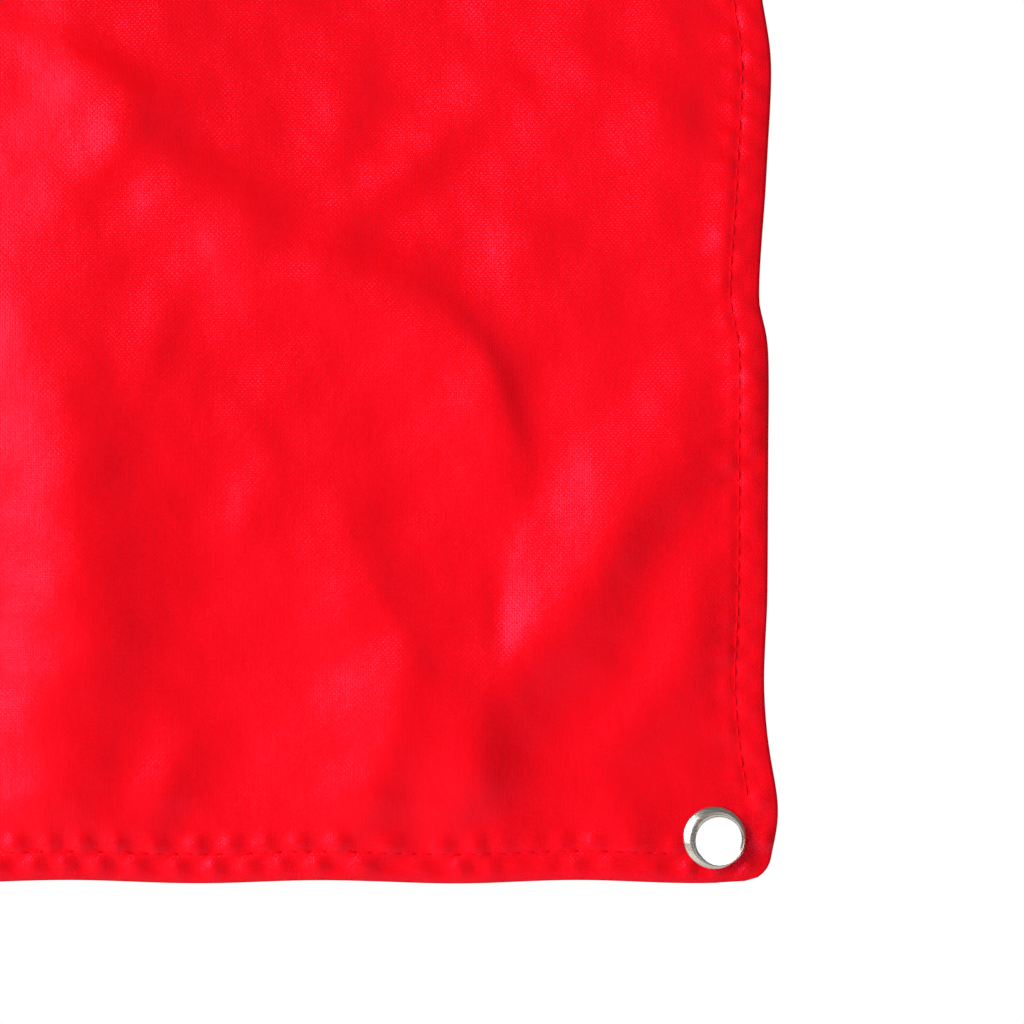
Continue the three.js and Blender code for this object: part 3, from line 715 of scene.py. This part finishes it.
def tail_sway(s, w, girth):
    """Sideways shift of both panels together, which makes the flat tail's edges wave a little."""
    a, b = (SOCK_LENGTH - s) / MM, w / MM
    share = 1 - smooth(120, 320, a)
    edge = 1 - 0.6 * smooth(0, 40, np.minimum(b, girth / MM - b))
    return share * edge * 1.3 * ripples(a, b, 21, 90) * MM


# The cloth simulation: its grid, its steps, the most that it may move the cloth, and where it is free
SLACK_ROWS = 84
SLACK_COLUMNS = 96
SLACK_STEPS = 40
SLACK_CAP = 9 * MM
SLACK_START = 250 * MM
SLACK_END = SOCK_LENGTH - 130 * MM
SLACK_CLOTH = {
    "quality": 6, "mass": 0.12, "tension_stiffness": 25, "compression_stiffness": 12,
    "shear_stiffness": 6, "bending_stiffness": 0.08, "air_damping": 3, "shrink_min": -0.035,
    "vertex_group_mass": "held", "use_pressure": True, "uniform_pressure_force": 0.6,
}


def tube_points(s_rows, columns):
    """Points of the plain sock as a closed tube. Columns run from the bottom seam over the top and back."""
    turn = np.arange(columns) / columns
    share = np.where(turn < 0.5, 2 * turn, 2 - 2 * turn)
    rows = []
    for s in s_rows:
        arc, out, up = unrolled_section(s)
        y = np.interp(share * arc[-1], arc, out) * np.where(turn < 0.5, 1, -1)
        z = HOOP.z + np.interp(share * arc[-1], arc, up)
        rows.append(np.stack([np.full(columns, MOUTH_X + s), y, z], -1))
    return np.array(rows)


def slack_field():
    """Runs cloth on a coarse sock, held by the basket and by its tail, that has a little too much cloth.

    Gives how far each point of it moves from the plain form.
    """
    s = np.linspace(0, SOCK_LENGTH, SLACK_ROWS)
    plain = tube_points(s, SLACK_COLUMNS)
    random = np.random.default_rng(4)
    start = plain + random.normal(0, 0.25 * MM, plain.shape)
    faces = grid_faces(SLACK_ROWS, SLACK_COLUMNS, False, True)
    sheet = mesh_object("slack", start.reshape(-1, 3), faces)
    held = sheet.vertex_groups.new(name="held")
    for row, distance in enumerate(s):
        if distance < SLACK_START or distance > SLACK_END:
            held.add(list(range(row * SLACK_COLUMNS, (row + 1) * SLACK_COLUMNS)), 1.0, "REPLACE")
    cloth = sheet.modifiers.new("cloth", "CLOTH")
    for key, value in SLACK_CLOTH.items():
        setattr(cloth.settings, key, value)
    cloth.settings.effector_weights.gravity = 0.7
    cloth.collision_settings.use_collision = False
    cloth.point_cache.frame_end = SLACK_STEPS
    scene = bpy.context.scene
    for step in range(1, SLACK_STEPS + 1):
        scene.frame_set(step)
    graph = bpy.context.evaluated_depsgraph_get()
    moved = np.zeros(plain.size, np.float32)
    sheet.evaluated_get(graph).data.vertices.foreach_get("co", moved)
    bpy.data.objects.remove(sheet)
    scene.frame_set(1)
    field = moved.reshape(plain.shape) - plain
    reach = np.linalg.norm(field, axis=-1, keepdims=True)
    field *= SLACK_CAP * np.tanh(reach / SLACK_CAP) / np.maximum(reach, 1e-9)
    fade_in = smooth(SLACK_START - 10 * MM, SLACK_START + 50 * MM, s)
    fade_out = 1 - smooth(SLACK_END - 90 * MM, SLACK_END - 10 * MM, s)
    return field * (fade_in * fade_out)[:, None, None]


def spline_weights(t):
    """Weights of four neighbours, for a smooth curve through a coarse grid."""
    second = (3 * t**3 - 6 * t**2 + 4) / 6
    third = (3 * (t + t**2 - t**3) + 1) / 6
    return (1 - t) ** 3 / 6, second, third, t**3 / 6


def slack_at(field, s, turn):
    """The simulated movement at any place, with turn 0 at the bottom seam and 0.5 at the top."""
    row = np.clip(s / SOCK_LENGTH * (SLACK_ROWS - 1), 0, SLACK_ROWS - 1.001)
    column = turn * SLACK_COLUMNS
    i, j = np.floor(row).astype(int), np.floor(column).astype(int)
    total = np.zeros(s.shape + (3,))
    for di, along in enumerate(spline_weights(row - i)):
        for dj, across in enumerate(spline_weights(column - j)):
            near = field[np.clip(i + di - 1, 0, SLACK_ROWS - 1), (j + dj - 1) % SLACK_COLUMNS]
            total += (along * across)[..., None] * near
    return total


def panel_thickness(s, w, girth):
    """Thicker in the hem and in both seams, where the cloth is folded over."""
    nearest = np.minimum(SOCK_LENGTH - s, np.minimum(w, girth - w))
    folded = 1 - smooth(HEM_WIDTH - 1 * MM, HEM_WIDTH + 1 * MM, nearest)
    return CLOTH + (HEM_THICK - CLOTH) * folded


def kept_apart(distance, least, blend=0.2 * MM):
    """The distance from the sock's middle plane, eased so that it stays above the least."""
    return least + blend * np.logaddexp(0, (distance - least) / blend)


def sock_panel(name, side, field):
    """One panel as a closed sheet: its outer face, its inner face and the rim between them."""
    s, w, girth, plain = sock_grid()
    normal = grid_normals(plain)
    stand_off = CLOTH_IN_WALL + panel_relief(s, w, girth, side) + sewn_relief(s, w, girth)
    outer = plain + normal * stand_off[..., None]
    inner = outer - normal * panel_thickness(s, w, girth)[..., None]
    near_hem = smooth(SOCK_LENGTH - 60 * MM, SOCK_LENGTH, s)
    at_hem = smooth(SOCK_LENGTH - 14 * MM, SOCK_LENGTH, s)
    along = near_hem * hem_shift(w) - at_hem * corner_cut(w, girth)
    turn = 0.5 * w / girth if side > 0 else 1 - 0.5 * w / girth
    sway = tail_sway(s, w, girth)
    moved = slack_at(field, s, turn)
    wave = 0.3 * MM * np.sin(s / (7.2 * MM)) * np.cos(math.pi * w / girth)  # of both seams, up and down
    for layer, least in ((outer, 0.22 * MM), (inner, 0.12 * MM)):
        layer[..., 0] += along
        layer[..., 2] += wave
        layer[..., 1] *= side
        layer += moved
        layer[..., 1] = side * kept_apart(side * layer[..., 1], least) + sway
    points = np.concatenate([outer.reshape(-1, 3), inner.reshape(-1, 3)])
    uvs = np.stack([s, w], -1).reshape(-1, 2)
    faces = sheet_faces(*s.shape)
    if side < 0:
        faces = faces[:, ::-1]
    piece = mesh_object(name, points, faces, np.concatenate([uvs, uvs]))
    return piece, Surface(s, w, girth, outer)


def sheet_faces(rows, columns):
    """Faces of a closed sheet: its outer grid, its inner grid and the rim between them."""
    front = grid_faces(rows, columns)
    back = front[:, ::-1] + rows * columns
    index = np.arange(rows * columns).reshape(rows, columns)
    rim = np.concatenate([index[0, :-1], index[:-1, -1], index[-1, :0:-1], index[:0:-1, 0]])
    after = np.roll(rim, -1)
    walls = np.stack([after, rim, rim + rows * columns, after + rows * columns], -1)
    return np.concatenate([front, back, walls])


# ---- the sock

MOUTH_EYELETS = [f"mouth_eyelet_{i + 1}" for i in range(8)]
TAIL_EYELETS = ["lower_tail_eyelet", "upper_tail_eyelet"]
EYELET_HOLE = 4.1 * MM
EYELET_FLANGE = 6.0 * MM
PUNCH_RADIUS = 4.75 * MM
PUNCH_REACH = 8 * MM
TAIL_GRIP = 2.7 * MM  # between an eyelet's two flanges
MOUTH_GRIP = 4.3 * MM

# An eyelet's section in millimetres, out from its hole or from its flange's edge, and up from the cloth
LIP_AT_HOLE = [(0, 0.1), (0.05, 0.45), (0.2, 0.75), (0.42, 0.85), (0.65, 0.8)]
LIP_AT_EDGE = [(-0.45, 0.52), (-0.15, 0.36), (0, 0.1), (-0.1, -0.25)]


def eyelet_axis(node):
    """The tail's eyelets face sideways, the mouth's face out from its centre."""
    return Vector((0, 1, 0)) if node in TAIL_EYELETS else outwards(node)


def grommet(node, grip, segments, lean=(0, 0)):
    """A pressed eyelet: a sloping flange on each face of the cloth, and a rolled barrel between them.

    lean shifts the flanges' outer edges off the hole's centre, upwind and up, for one pressed unevenly.
    """
    centre, axis = middle(node), eyelet_axis(node)
    hole, flange, top = EYELET_HOLE, EYELET_FLANGE - 0.45 * MM, grip / 2
    barrel = hole + 0.6 * MM
    lip = [(hole + out * MM, top + up * MM) for out, up in LIP_AT_HOLE]
    lip += [(flange + out * MM, top + up * MM) for out, up in LIP_AT_EDGE]
    profile = lip + [(barrel, top - 0.25 * MM), (barrel, 0.25 * MM - top)]
    profile += [(radius, -height) for radius, height in reversed(lip)]
    profile += [(hole + 0.12 * MM, -grip / 4), (hole + 0.2 * MM, 0), (hole + 0.12 * MM, grip / 4)]
    ring = np.array(profile)[::-1]
    side = axis.orthogonal().normalized() if node in MOUTH_EYELETS else Vector((1, 0, 0))
    up = axis.cross(side)
    turn = full_turn(segments)[:, None, None]
    out = np.cos(turn) * np.array(side) + np.sin(turn) * np.array(up)
    points = np.array(centre) + ring[None, :, :1] * out + ring[None, :, 1:] * np.array(axis)
    share = np.clip((ring[:, :1] - hole) / (flange - hole), 0, 1)
    points = points + share * np.array((-lean[0], 0, lean[1]))
    faces = grid_faces(segments, len(ring), True, True)[:, ::-1]
    piece = mesh_object(node + "_ring", points.reshape(-1, 3), faces)
    modify(piece, "SUBSURF", levels=1, render_levels=1)
    replace(piece, "nickel_brass", node)


def punches():
    """One tool that cuts every eyelet's hole through the cloth."""
    tools = []
    for node in MOUTH_EYELETS + TAIL_EYELETS:
        centre, axis = middle(node), eyelet_axis(node)
        path = [centre - axis * PUNCH_REACH, centre + axis * PUNCH_REACH]
        tools.append(swept("punch", path, PUNCH_RADIUS, 48, closed=False))
    return join("punches", tools)


def punch(piece, tool):
    modify(piece, "BOOLEAN", operation="DIFFERENCE", object=tool, solver="MANIFOLD")
    bpy.context.view_layer.update()
    graph = bpy.context.evaluated_depsgraph_get()
    mesh = bpy.data.meshes.new_from_object(piece.evaluated_get(graph))
    piece.modifiers.clear()
    piece.data = mesh


class Surface:
    """A panel's outer face, to lay stitches on."""

    def __init__(self, s, w, girth, outer):
        self.s, self.w, self.girth, self.outer = s[:, 0], w, girth[:, 0], outer

    def at(self, s, w):
        """The point at a distance s from the mouth and w round from the bottom seam."""
        row = int(np.clip(np.searchsorted(self.s, s) - 1, 0, len(self.s) - 2))
        share = (s - self.s[row]) / (self.s[row + 1] - self.s[row])
        ends = []
        for k in (row, row + 1):
            ends.append([np.interp(w, self.w[k], self.outer[k, :, axis]) for axis in range(3)])
        return np.array(ends[0]) * (1 - share) + np.array(ends[1]) * share

    def girth_at(self, s):
        return float(np.interp(s, self.s, self.girth))


EYELET_CLEAR = 6.6 * MM  # from an eyelet's centre, where a seam's stitches stop
HEM_END = 15 * MM  # from the seams, where the hem's stitches stop
STITCH_RINGS = np.linspace(-1, 1, 5)[:, None]  # along a stitch, from end to end
STITCH_SIDES = 6


def panel_stitch(a, b):
    """One stitch's points: it dips into the cloth at its ends and stands proud in the middle."""
    along = unit(b - a)
    out = np.array((0.0, math.copysign(1, a[1] or 1), 0.0))
    out = unit(out - along * (out @ along))
    t = STITCH_RINGS
    path = (a + b) / 2 + along * t * STITCH * STITCH_HALF + out * THREAD_RADIUS * (0.75 - 1.3 * t * t)
    side, up = np.cross(along, out) + 0 * path, out + 0 * path
    return ring_points(path, side, up, THREAD_RADIUS * (1 - 0.35 * t * t), STITCH_SIDES)


def band_stitch(a, b):
    """One stitch's points on the webbing, bowed away from the mouth's axis."""
    centre = (a + b) / 2
    out = unit(np.array((0, centre[1], centre[2] - HOOP.z)))
    t = STITCH_RINGS
    path = centre + (b - a) * STITCH_HALF * t + out * BAND_THREAD_RADIUS * (0.9 - 1.3 * t * t)
    ahead = unit(np.gradient(path, axis=0))
    side = unit(np.cross(ahead, (1, 0, 0)) + 1e-9)
    return ring_points(path, side, np.cross(ahead, side), BAND_THREAD_RADIUS + 0 * t, STITCH_SIDES)


def stitch_row(name, points, stitch, slot, node, capped):
    """Small threads in a row from point to point, as one object. The row leaves out an eyelet."""
    pairs = [(a, b) for a, b in zip(points[:-1], points[1:]) if np.linalg.norm(b - a) < 2 * STITCH]
    one = tube_faces(len(STITCH_RINGS), STITCH_SIDES, capped=capped)
    count = len(STITCH_RINGS) * STITCH_SIDES
    faces = [[corner + k * count for corner in face] for k in range(len(pairs)) for face in one]
    piece = mesh_object(name, np.concatenate([stitch(a, b) for a, b in pairs]), faces)
    return finish_piece(piece, slot, node, material=RED_THREAD)


def spaced(start, end, pitch):
    return np.linspace(start, end, max(2, round((end - start) / pitch)))


def panel_stitches(name, surface, node):
    """Lockstitches along the bottom seam, the top seam and the tail hem of one panel."""
    eyelet_s = TAIL_EYELET.x - MOUTH_X
    marks = spaced(BAND_WIDTH + 3 * MM, SOCK_LENGTH - 3 * MM, STITCH)
    marks = [s for s in marks if abs(s - eyelet_s) > EYELET_CLEAR]
    hem_girth = surface.girth_at(SOCK_LENGTH)
    rows = [
        [surface.at(s, STITCH_LINE) for s in marks],
        [surface.at(s, surface.girth_at(s) - STITCH_LINE) for s in marks],
        [surface.at(SOCK_LENGTH - STITCH_LINE, w) for w in spaced(HEM_END, hem_girth - HEM_END, STITCH)],
    ]
    pieces = []
    for k, row in enumerate(rows):
        pieces.append(stitch_row(f"{name}_{k}", row, panel_stitch, "red_nylon", node, capped=True))
    return join(name, pieces)


def sock():
    tool = punches()
    slack = slack_field()
    for side, node in ((-1, "right_sock_panel"), (1, "left_sock_panel")):
        piece, surface = sock_panel(node + "_cloth", side, slack)
        finish_piece(piece, "red_nylon", node)
        punch(piece, tool)
        stitches = panel_stitches(node + "_stitches", surface, node)
        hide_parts(node)
    band = mouth_band()
    punch(band, tool)
    stitches = band_stitches()
    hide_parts("mouth_band")
    bpy.data.objects.remove(tool)
    grommet("lower_tail_eyelet", TAIL_GRIP, 96, lean=(0.85 * MM, 0.6 * MM))
    grommet("upper_tail_eyelet", TAIL_GRIP, 96, lean=(0.2 * MM, -0.2 * MM))
    for node in MOUTH_EYELETS:
        grommet(node, MOUTH_GRIP, 64)
    lacing()


def band_skin(x, turn):
    """How far the webbing's outer face stands off its round form: the rows of stitches draw it in."""
    rows = sum(bell(x, at, 0.9 * MM) for at in BAND_STITCHES)
    beat = 0.5 + 0.5 * np.cos(turn * math.tau * round(BAND_GIRTH / BAND_STITCH))
    edges = bell(x, 0, 0.8 * MM) + bell(x, BAND_WIDTH, 0.8 * MM)
    return -0.28 * MM * rows * (0.6 + 0.4 * beat) - 0.2 * MM * edges


def mouth_band():
    """Webbing sewn round the mouth."""
    x, turn = np.meshgrid(steps((BAND_WIDTH, 0.75 * MM)), np.arange(720) / 720, indexing="ij")
    angle = math.tau * turn
    outer = around_mouth(MOUTH_X + x, BAND_RADIUS + BAND_THICK / 2 + band_skin(x, turn), angle)
    inner = around_mouth(MOUTH_X + x, BAND_RADIUS - BAND_THICK / 2, angle)
    points = np.concatenate([outer, inner[::-1]])
    uvs = np.stack([BAND_GIRTH * turn, x], -1)
    uvs = np.concatenate([uvs, uvs[::-1]]).reshape(-1, 2)
    faces = grid_faces(*points.shape[:2], True, True)[:, ::-1]
    piece = mesh_object("mouth_band_webbing", points.reshape(-1, 3), faces, uvs)
    return finish_piece(piece, "red_webbing", "mouth_band")


def band_stitches():
    count = round(BAND_GIRTH / BAND_STITCH)
    angle = math.tau * (np.arange(count + 1) / count)
    pieces = []
    for k, x in enumerate(BAND_STITCHES):
        name = f"band_stitches_{k}"
        points = around_mouth(MOUTH_X + x, BAND_RADIUS + BAND_THICK / 2 - 0.3 * MM, angle)
        pieces.append(stitch_row(name, points, band_stitch, "red_webbing", "mouth_band", capped=False))
    return join("band_stitches", pieces)


# ---- lacing

CORD_RADIUS = 1.25 * MM
CORD_GAP = 0.3 * MM
HOOP_WIRE = 2.5 * MM
REAR_WIRE = 2 * MM
STAY_RADIUS = 2 * MM
BEAD_RADIUS = 1.7 * MM
BEAD_HALF = 4.5 * MM
HOOP_RADIUS = size("front_hoop").z / 2 - HOOP_WIRE


def braided(length, turn):
    """The sheath's strands, as ripples of the cord's radius."""
    pitch = math.tau * length / BRAID_RIPPLE
    round_it = math.tau * BRAID_STRANDS * turn
    return 0.95 + 0.05 * np.maximum(np.sin(pitch + round_it), np.sin(pitch - round_it))


def evenly_closed(path, step):
    """The same closed path with even steps."""
    path = np.concatenate([path, path[:1]])
    length = arc_lengths(path)[-1]
    return path_at(path, np.linspace(0, length, max(8, round(length / step)), endpoint=False))


def lacing():
    """A cord round the band, and a loop of it through each eyelet and round the hoop."""
    inner = HOOP_RADIUS - HOOP_WIRE - CORD_GAP - CORD_RADIUS
    around_radius = size("lacing_cord").z / 2 - CORD_RADIUS
    bend = (around_radius - inner) / 2
    around = around_mouth(MOUTH_X + CORD_RADIUS + CORD_GAP, around_radius, full_turn(2000))
    pieces = [swept("lacing_ring", around, CORD_RADIUS, 16, relief=braided)]
    front, back = HOOP.x, middle("mouth_eyelet_1").x - 0.84 * bend
    half = np.linspace(-math.pi / 2, math.pi / 2, 24)
    x = np.concatenate([back + bend * np.cos(half), front - bend * np.cos(half)])
    out = inner + bend + bend * np.concatenate([np.sin(half), -np.sin(half)])
    for node in MOUTH_EYELETS:
        axis = outwards(node)
        loop = evenly_closed(np.stack([x, axis.y * out, HOOP.z + axis.z * out], -1), 0.45 * MM)
        pieces.append(swept("lacing_loop", loop, CORD_RADIUS, 16, relief=braided))
    replace(join("lacing", pieces), "white_cord", "lacing_cord")


# ---- basket


def rippled(length, turn):
    """The ripples that a welder's puddles leave, one a millimetre or so."""
    return 1 + 0.09 * np.abs(np.sin(math.pi * length / (1.1 * MM))) + 0 * turn


def weld_bead(name, path, radius):
    """A short bead of weld that thins out at its ends."""
    share = np.linspace(-1, 1, len(path))
    return swept(name, path, radius * np.sqrt(1.02 - share**2), 14, closed=False, relief=rippled)


def wire_hoop(node, wire, stay_angles):
    """A welded ring of wire, with the beads that hold the stays to its inside."""
    x, radius = middle(node).x, size(node).z / 2 - wire
    turn = full_turn(240)
    pieces = [swept("ring", around_mouth(x, radius, turn), wire, 20)]
    reach = BEAD_HALF / radius
    for angle in stay_angles:
        path = around_mouth(x, radius - wire - 0.2 * MM, angle + np.linspace(-reach, reach, 28))
        pieces.append(weld_bead("bead", path, BEAD_RADIUS))
    replace(join(node + "_wire", pieces), "zinc_steel", node)


def stay(node):
    """A straight wire with rounded ends, inside both hoops."""
    out = outwards(node)
    rear = middle("rear_hoop")
    rear_radius = size("rear_hoop").z / 2 - REAR_WIRE
    ends = []
    for x, radius in (
        (HOOP.x - 2 * MM, HOOP_RADIUS - HOOP_WIRE - STAY_RADIUS - CORD_GAP),
        (rear.x + 3 * MM, rear_radius - REAR_WIRE - STAY_RADIUS - CORD_GAP),
    ):
        ends.append(np.array((x, out.y * radius, HOOP.z + out.z * radius)))
    near, far = [0, 0.0008, 0.003, 0.006], [0.994, 0.997, 0.9992, 1]
    share = np.concatenate([near, np.linspace(0.02, 0.98, 40), far])
    path = ends[0] + share[:, None] * (ends[1] - ends[0])
    span = np.linalg.norm(ends[1] - ends[0])
    near_end = np.clip(np.minimum(share, 1 - share) * span / (1.2 * MM), 0, 1)
    radii = STAY_RADIUS * (0.55 + 0.45 * np.sqrt(1 - (1 - near_end) ** 2))
    replace(swept(node + "_wire", path, radii, 18, closed=False), "zinc_steel", node)


def basket():
    angles = []
    for node in [f"basket_stay_{i + 1}" for i in range(4)]:
        out = outwards(node)
        angles.append(math.atan2(out.z, out.y))
        stay(node)
    wire_hoop("front_hoop", HOOP_WIRE, angles)
    wire_hoop("rear_hoop", REAR_WIRE, angles)


# ---- pole, head and base


def refine(node, slot, edge):
    """Keeps a CAD node's shape, but rounds its edges and smooths its shading, with modifiers only."""
    piece = frame["nodes"][node]
    piece.data.materials.clear()
    piece.data.materials.append(MATERIALS[slot])
    piece.data.polygons.foreach_set("use_smooth", np.ones(len(piece.data.polygons), bool))
    modify(piece, "WELD", merge_threshold=1e-6)
    modify(piece, "DECIMATE", decimate_type="DISSOLVE", angle_limit=math.radians(1))
    modify(
        piece, "BEVEL", width=edge, segments=3, limit_method="ANGLE", angle_limit=math.radians(40),
        use_clamp_overlap=True,
    )
    modify(piece, "WEIGHTED_NORMAL")


EDGES = {
    "rubber": 1.2 * MM,
    "black_powder_coat": 0.7 * MM,
    "black_plastic": 0.6 * MM,
    "anodised_aluminium": 0.3 * MM,
    "zinc_steel": 0.25 * MM,
    "bearing_steel": 0.2 * MM,
}


def hard_parts():
    """Every CAD node that no piece stands for."""
    for row in frame["record"]["subparts"]:
        slot = row["material_slot"]
        if slot in EDGES and not frame["nodes"][row["node"]].hide_render:
            refine(row["node"], slot, EDGES[slot])


CONE_FOOT_RADIUS = 24.3 * MM  # of the socket's cone, on its flange


def socket_weld():
    """The bead round the foot of the socket's cone, on its flange."""
    flange_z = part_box("lower_tube_plug")[0].z - 0.1 * MM
    turn = full_turn(560)
    x, y = CONE_FOOT_RADIUS * np.cos(turn), CONE_FOOT_RADIUS * np.sin(turn)
    path = np.stack(np.broadcast_arrays(x, y, flange_z), -1)
    piece = swept("socket_weld", path, 1.5 * MM, 16, relief=rippled)
    finish_piece(piece, "black_powder_coat", "pole_socket")


# ---- camera, light and floor

FRAME_WIDTH = 0.1792
CAMERA_DISTANCE = 0.62
EYELET_RIGHT = 0.202  # of the picture's middle, in frame widths
EYELET_BELOW = 0.3205
TAIL_SPOT = (0.9, 0, 1.5)
WHOLE_SPOT = (0.4, 0, 0.9)
LIGHTS = {  # place, what it points at, width in metres, power in watts
    "key": ((-1.5, -1.8, 2.2), TAIL_SPOT, 1.8, 114),
    "fill": ((2.2, -3.4, 2.6), WHOLE_SPOT, 2.6, 14),
    "back": ((0.6, 3.4, 2.8), WHOLE_SPOT, 2.6, 75),
}
WORLD_LIGHT = 0.17
FLOOR_RADIUS = 3.4
FLOOR_THICK = 0.02
FLOOR_ROUND = 5 * MM  # the arcs of its edges
FLOOR_GLOW = (0.9, 3.2)  # distances from the pole where the floor's glow begins and is full


def camera():
    """Square on to the sock's lower tail corner, with the eyelet right of and below the middle."""
    data = bpy.data.cameras.new("camera")
    data.lens = data.sensor_width * CAMERA_DISTANCE / FRAME_WIDTH
    data.clip_start = 0.01
    piece = add_object("camera", data)
    piece.location = (
        TAIL_EYELET.x - EYELET_RIGHT * FRAME_WIDTH,
        TAIL_EYELET.y - CAMERA_DISTANCE,
        TAIL_EYELET.z + EYELET_BELOW * FRAME_WIDTH,
    )
    piece.rotation_euler = (math.pi / 2, 0, 0)
    bpy.context.scene.camera = piece


def area_light(name, place, target, width, power):
    data = bpy.data.lights.new(name, "AREA")
    data.size = width
    data.energy = power
    piece = add_object(name, data)
    piece.location = place
    piece.rotation_euler = (Vector(target) - Vector(place)).to_track_quat("-Z", "Y").to_euler()
    piece.visible_camera = False


def world():
    """White for the camera, and a softer white as light."""
    white = bpy.data.worlds.new("white")
    bpy.context.scene.world = white
    white.use_nodes = True
    tree = white.node_tree
    background = tree.nodes["Background"]
    path = tree.nodes.new("ShaderNodeLightPath")
    strength = tree.nodes.new("ShaderNodeMapRange")
    strength.inputs["To Min"].default_value = WORLD_LIGHT
    strength.inputs["To Max"].default_value = 1.0
    tree.links.new(path.outputs["Is Camera Ray"], strength.inputs["Value"])
    tree.links.new(strength.outputs[0], background.inputs["Strength"])
    background.inputs["Color"].default_value = (1, 1, 1, 1)
    bpy.context.scene.view_settings.view_transform = "Standard"


def floor():
    """A pale paper disc that glows white towards its rim, where it meets the white world."""
    share = np.array((0, 1 / 3, 2 / 3, 1))
    leave, arrive = FLOOR_ROUND * (1 - share) ** 2, FLOOR_ROUND * share**2
    radius = np.concatenate([[0], FLOOR_RADIUS - leave, FLOOR_RADIUS - arrive, [0]])
    height = np.concatenate([[-FLOOR_THICK], arrive - FLOOR_THICK, -leave, [0]])
    angle = full_turn(96)
    x, y = np.outer(np.cos(angle), radius), np.outer(np.sin(angle), radius)
    points = np.stack(np.broadcast_arrays(x, y, height), -1).reshape(-1, 3)
    disc = mesh_object("floor", points, grid_faces(len(angle), len(radius), True, True)[:, ::-1])
    modify(disc, "WELD", merge_threshold=1e-6)
    modify(disc, "WEIGHTED_NORMAL")
    n = Nodes("floor_paper")
    distance = n.make("ShaderNodeVectorMath", {0: n.position()}, output=1, operation="LENGTH")
    rim = n.ramp(distance, 0.0, 1.0, *FLOOR_GLOW)
    tone = n.ramp(n.noise(3, 3.0), 0.0, 1.0)
    paper = n.mix(tone, (0.80, 0.80, 0.80), (0.83, 0.83, 0.83))
    material = n.finish(
        Base_Color=n.mix(rim, paper, (0, 0, 0)), Roughness=0.9, Specular_IOR_Level=0.1,
        Emission_Color=(1, 1, 1), Emission_Strength=rim,
    )
    disc.data.materials.append(material)


# ---- everything

camera()
world()
for light, setting in LIGHTS.items():
    area_light(light, *setting)
floor()
sock()
basket()
hard_parts()
socket_weld()
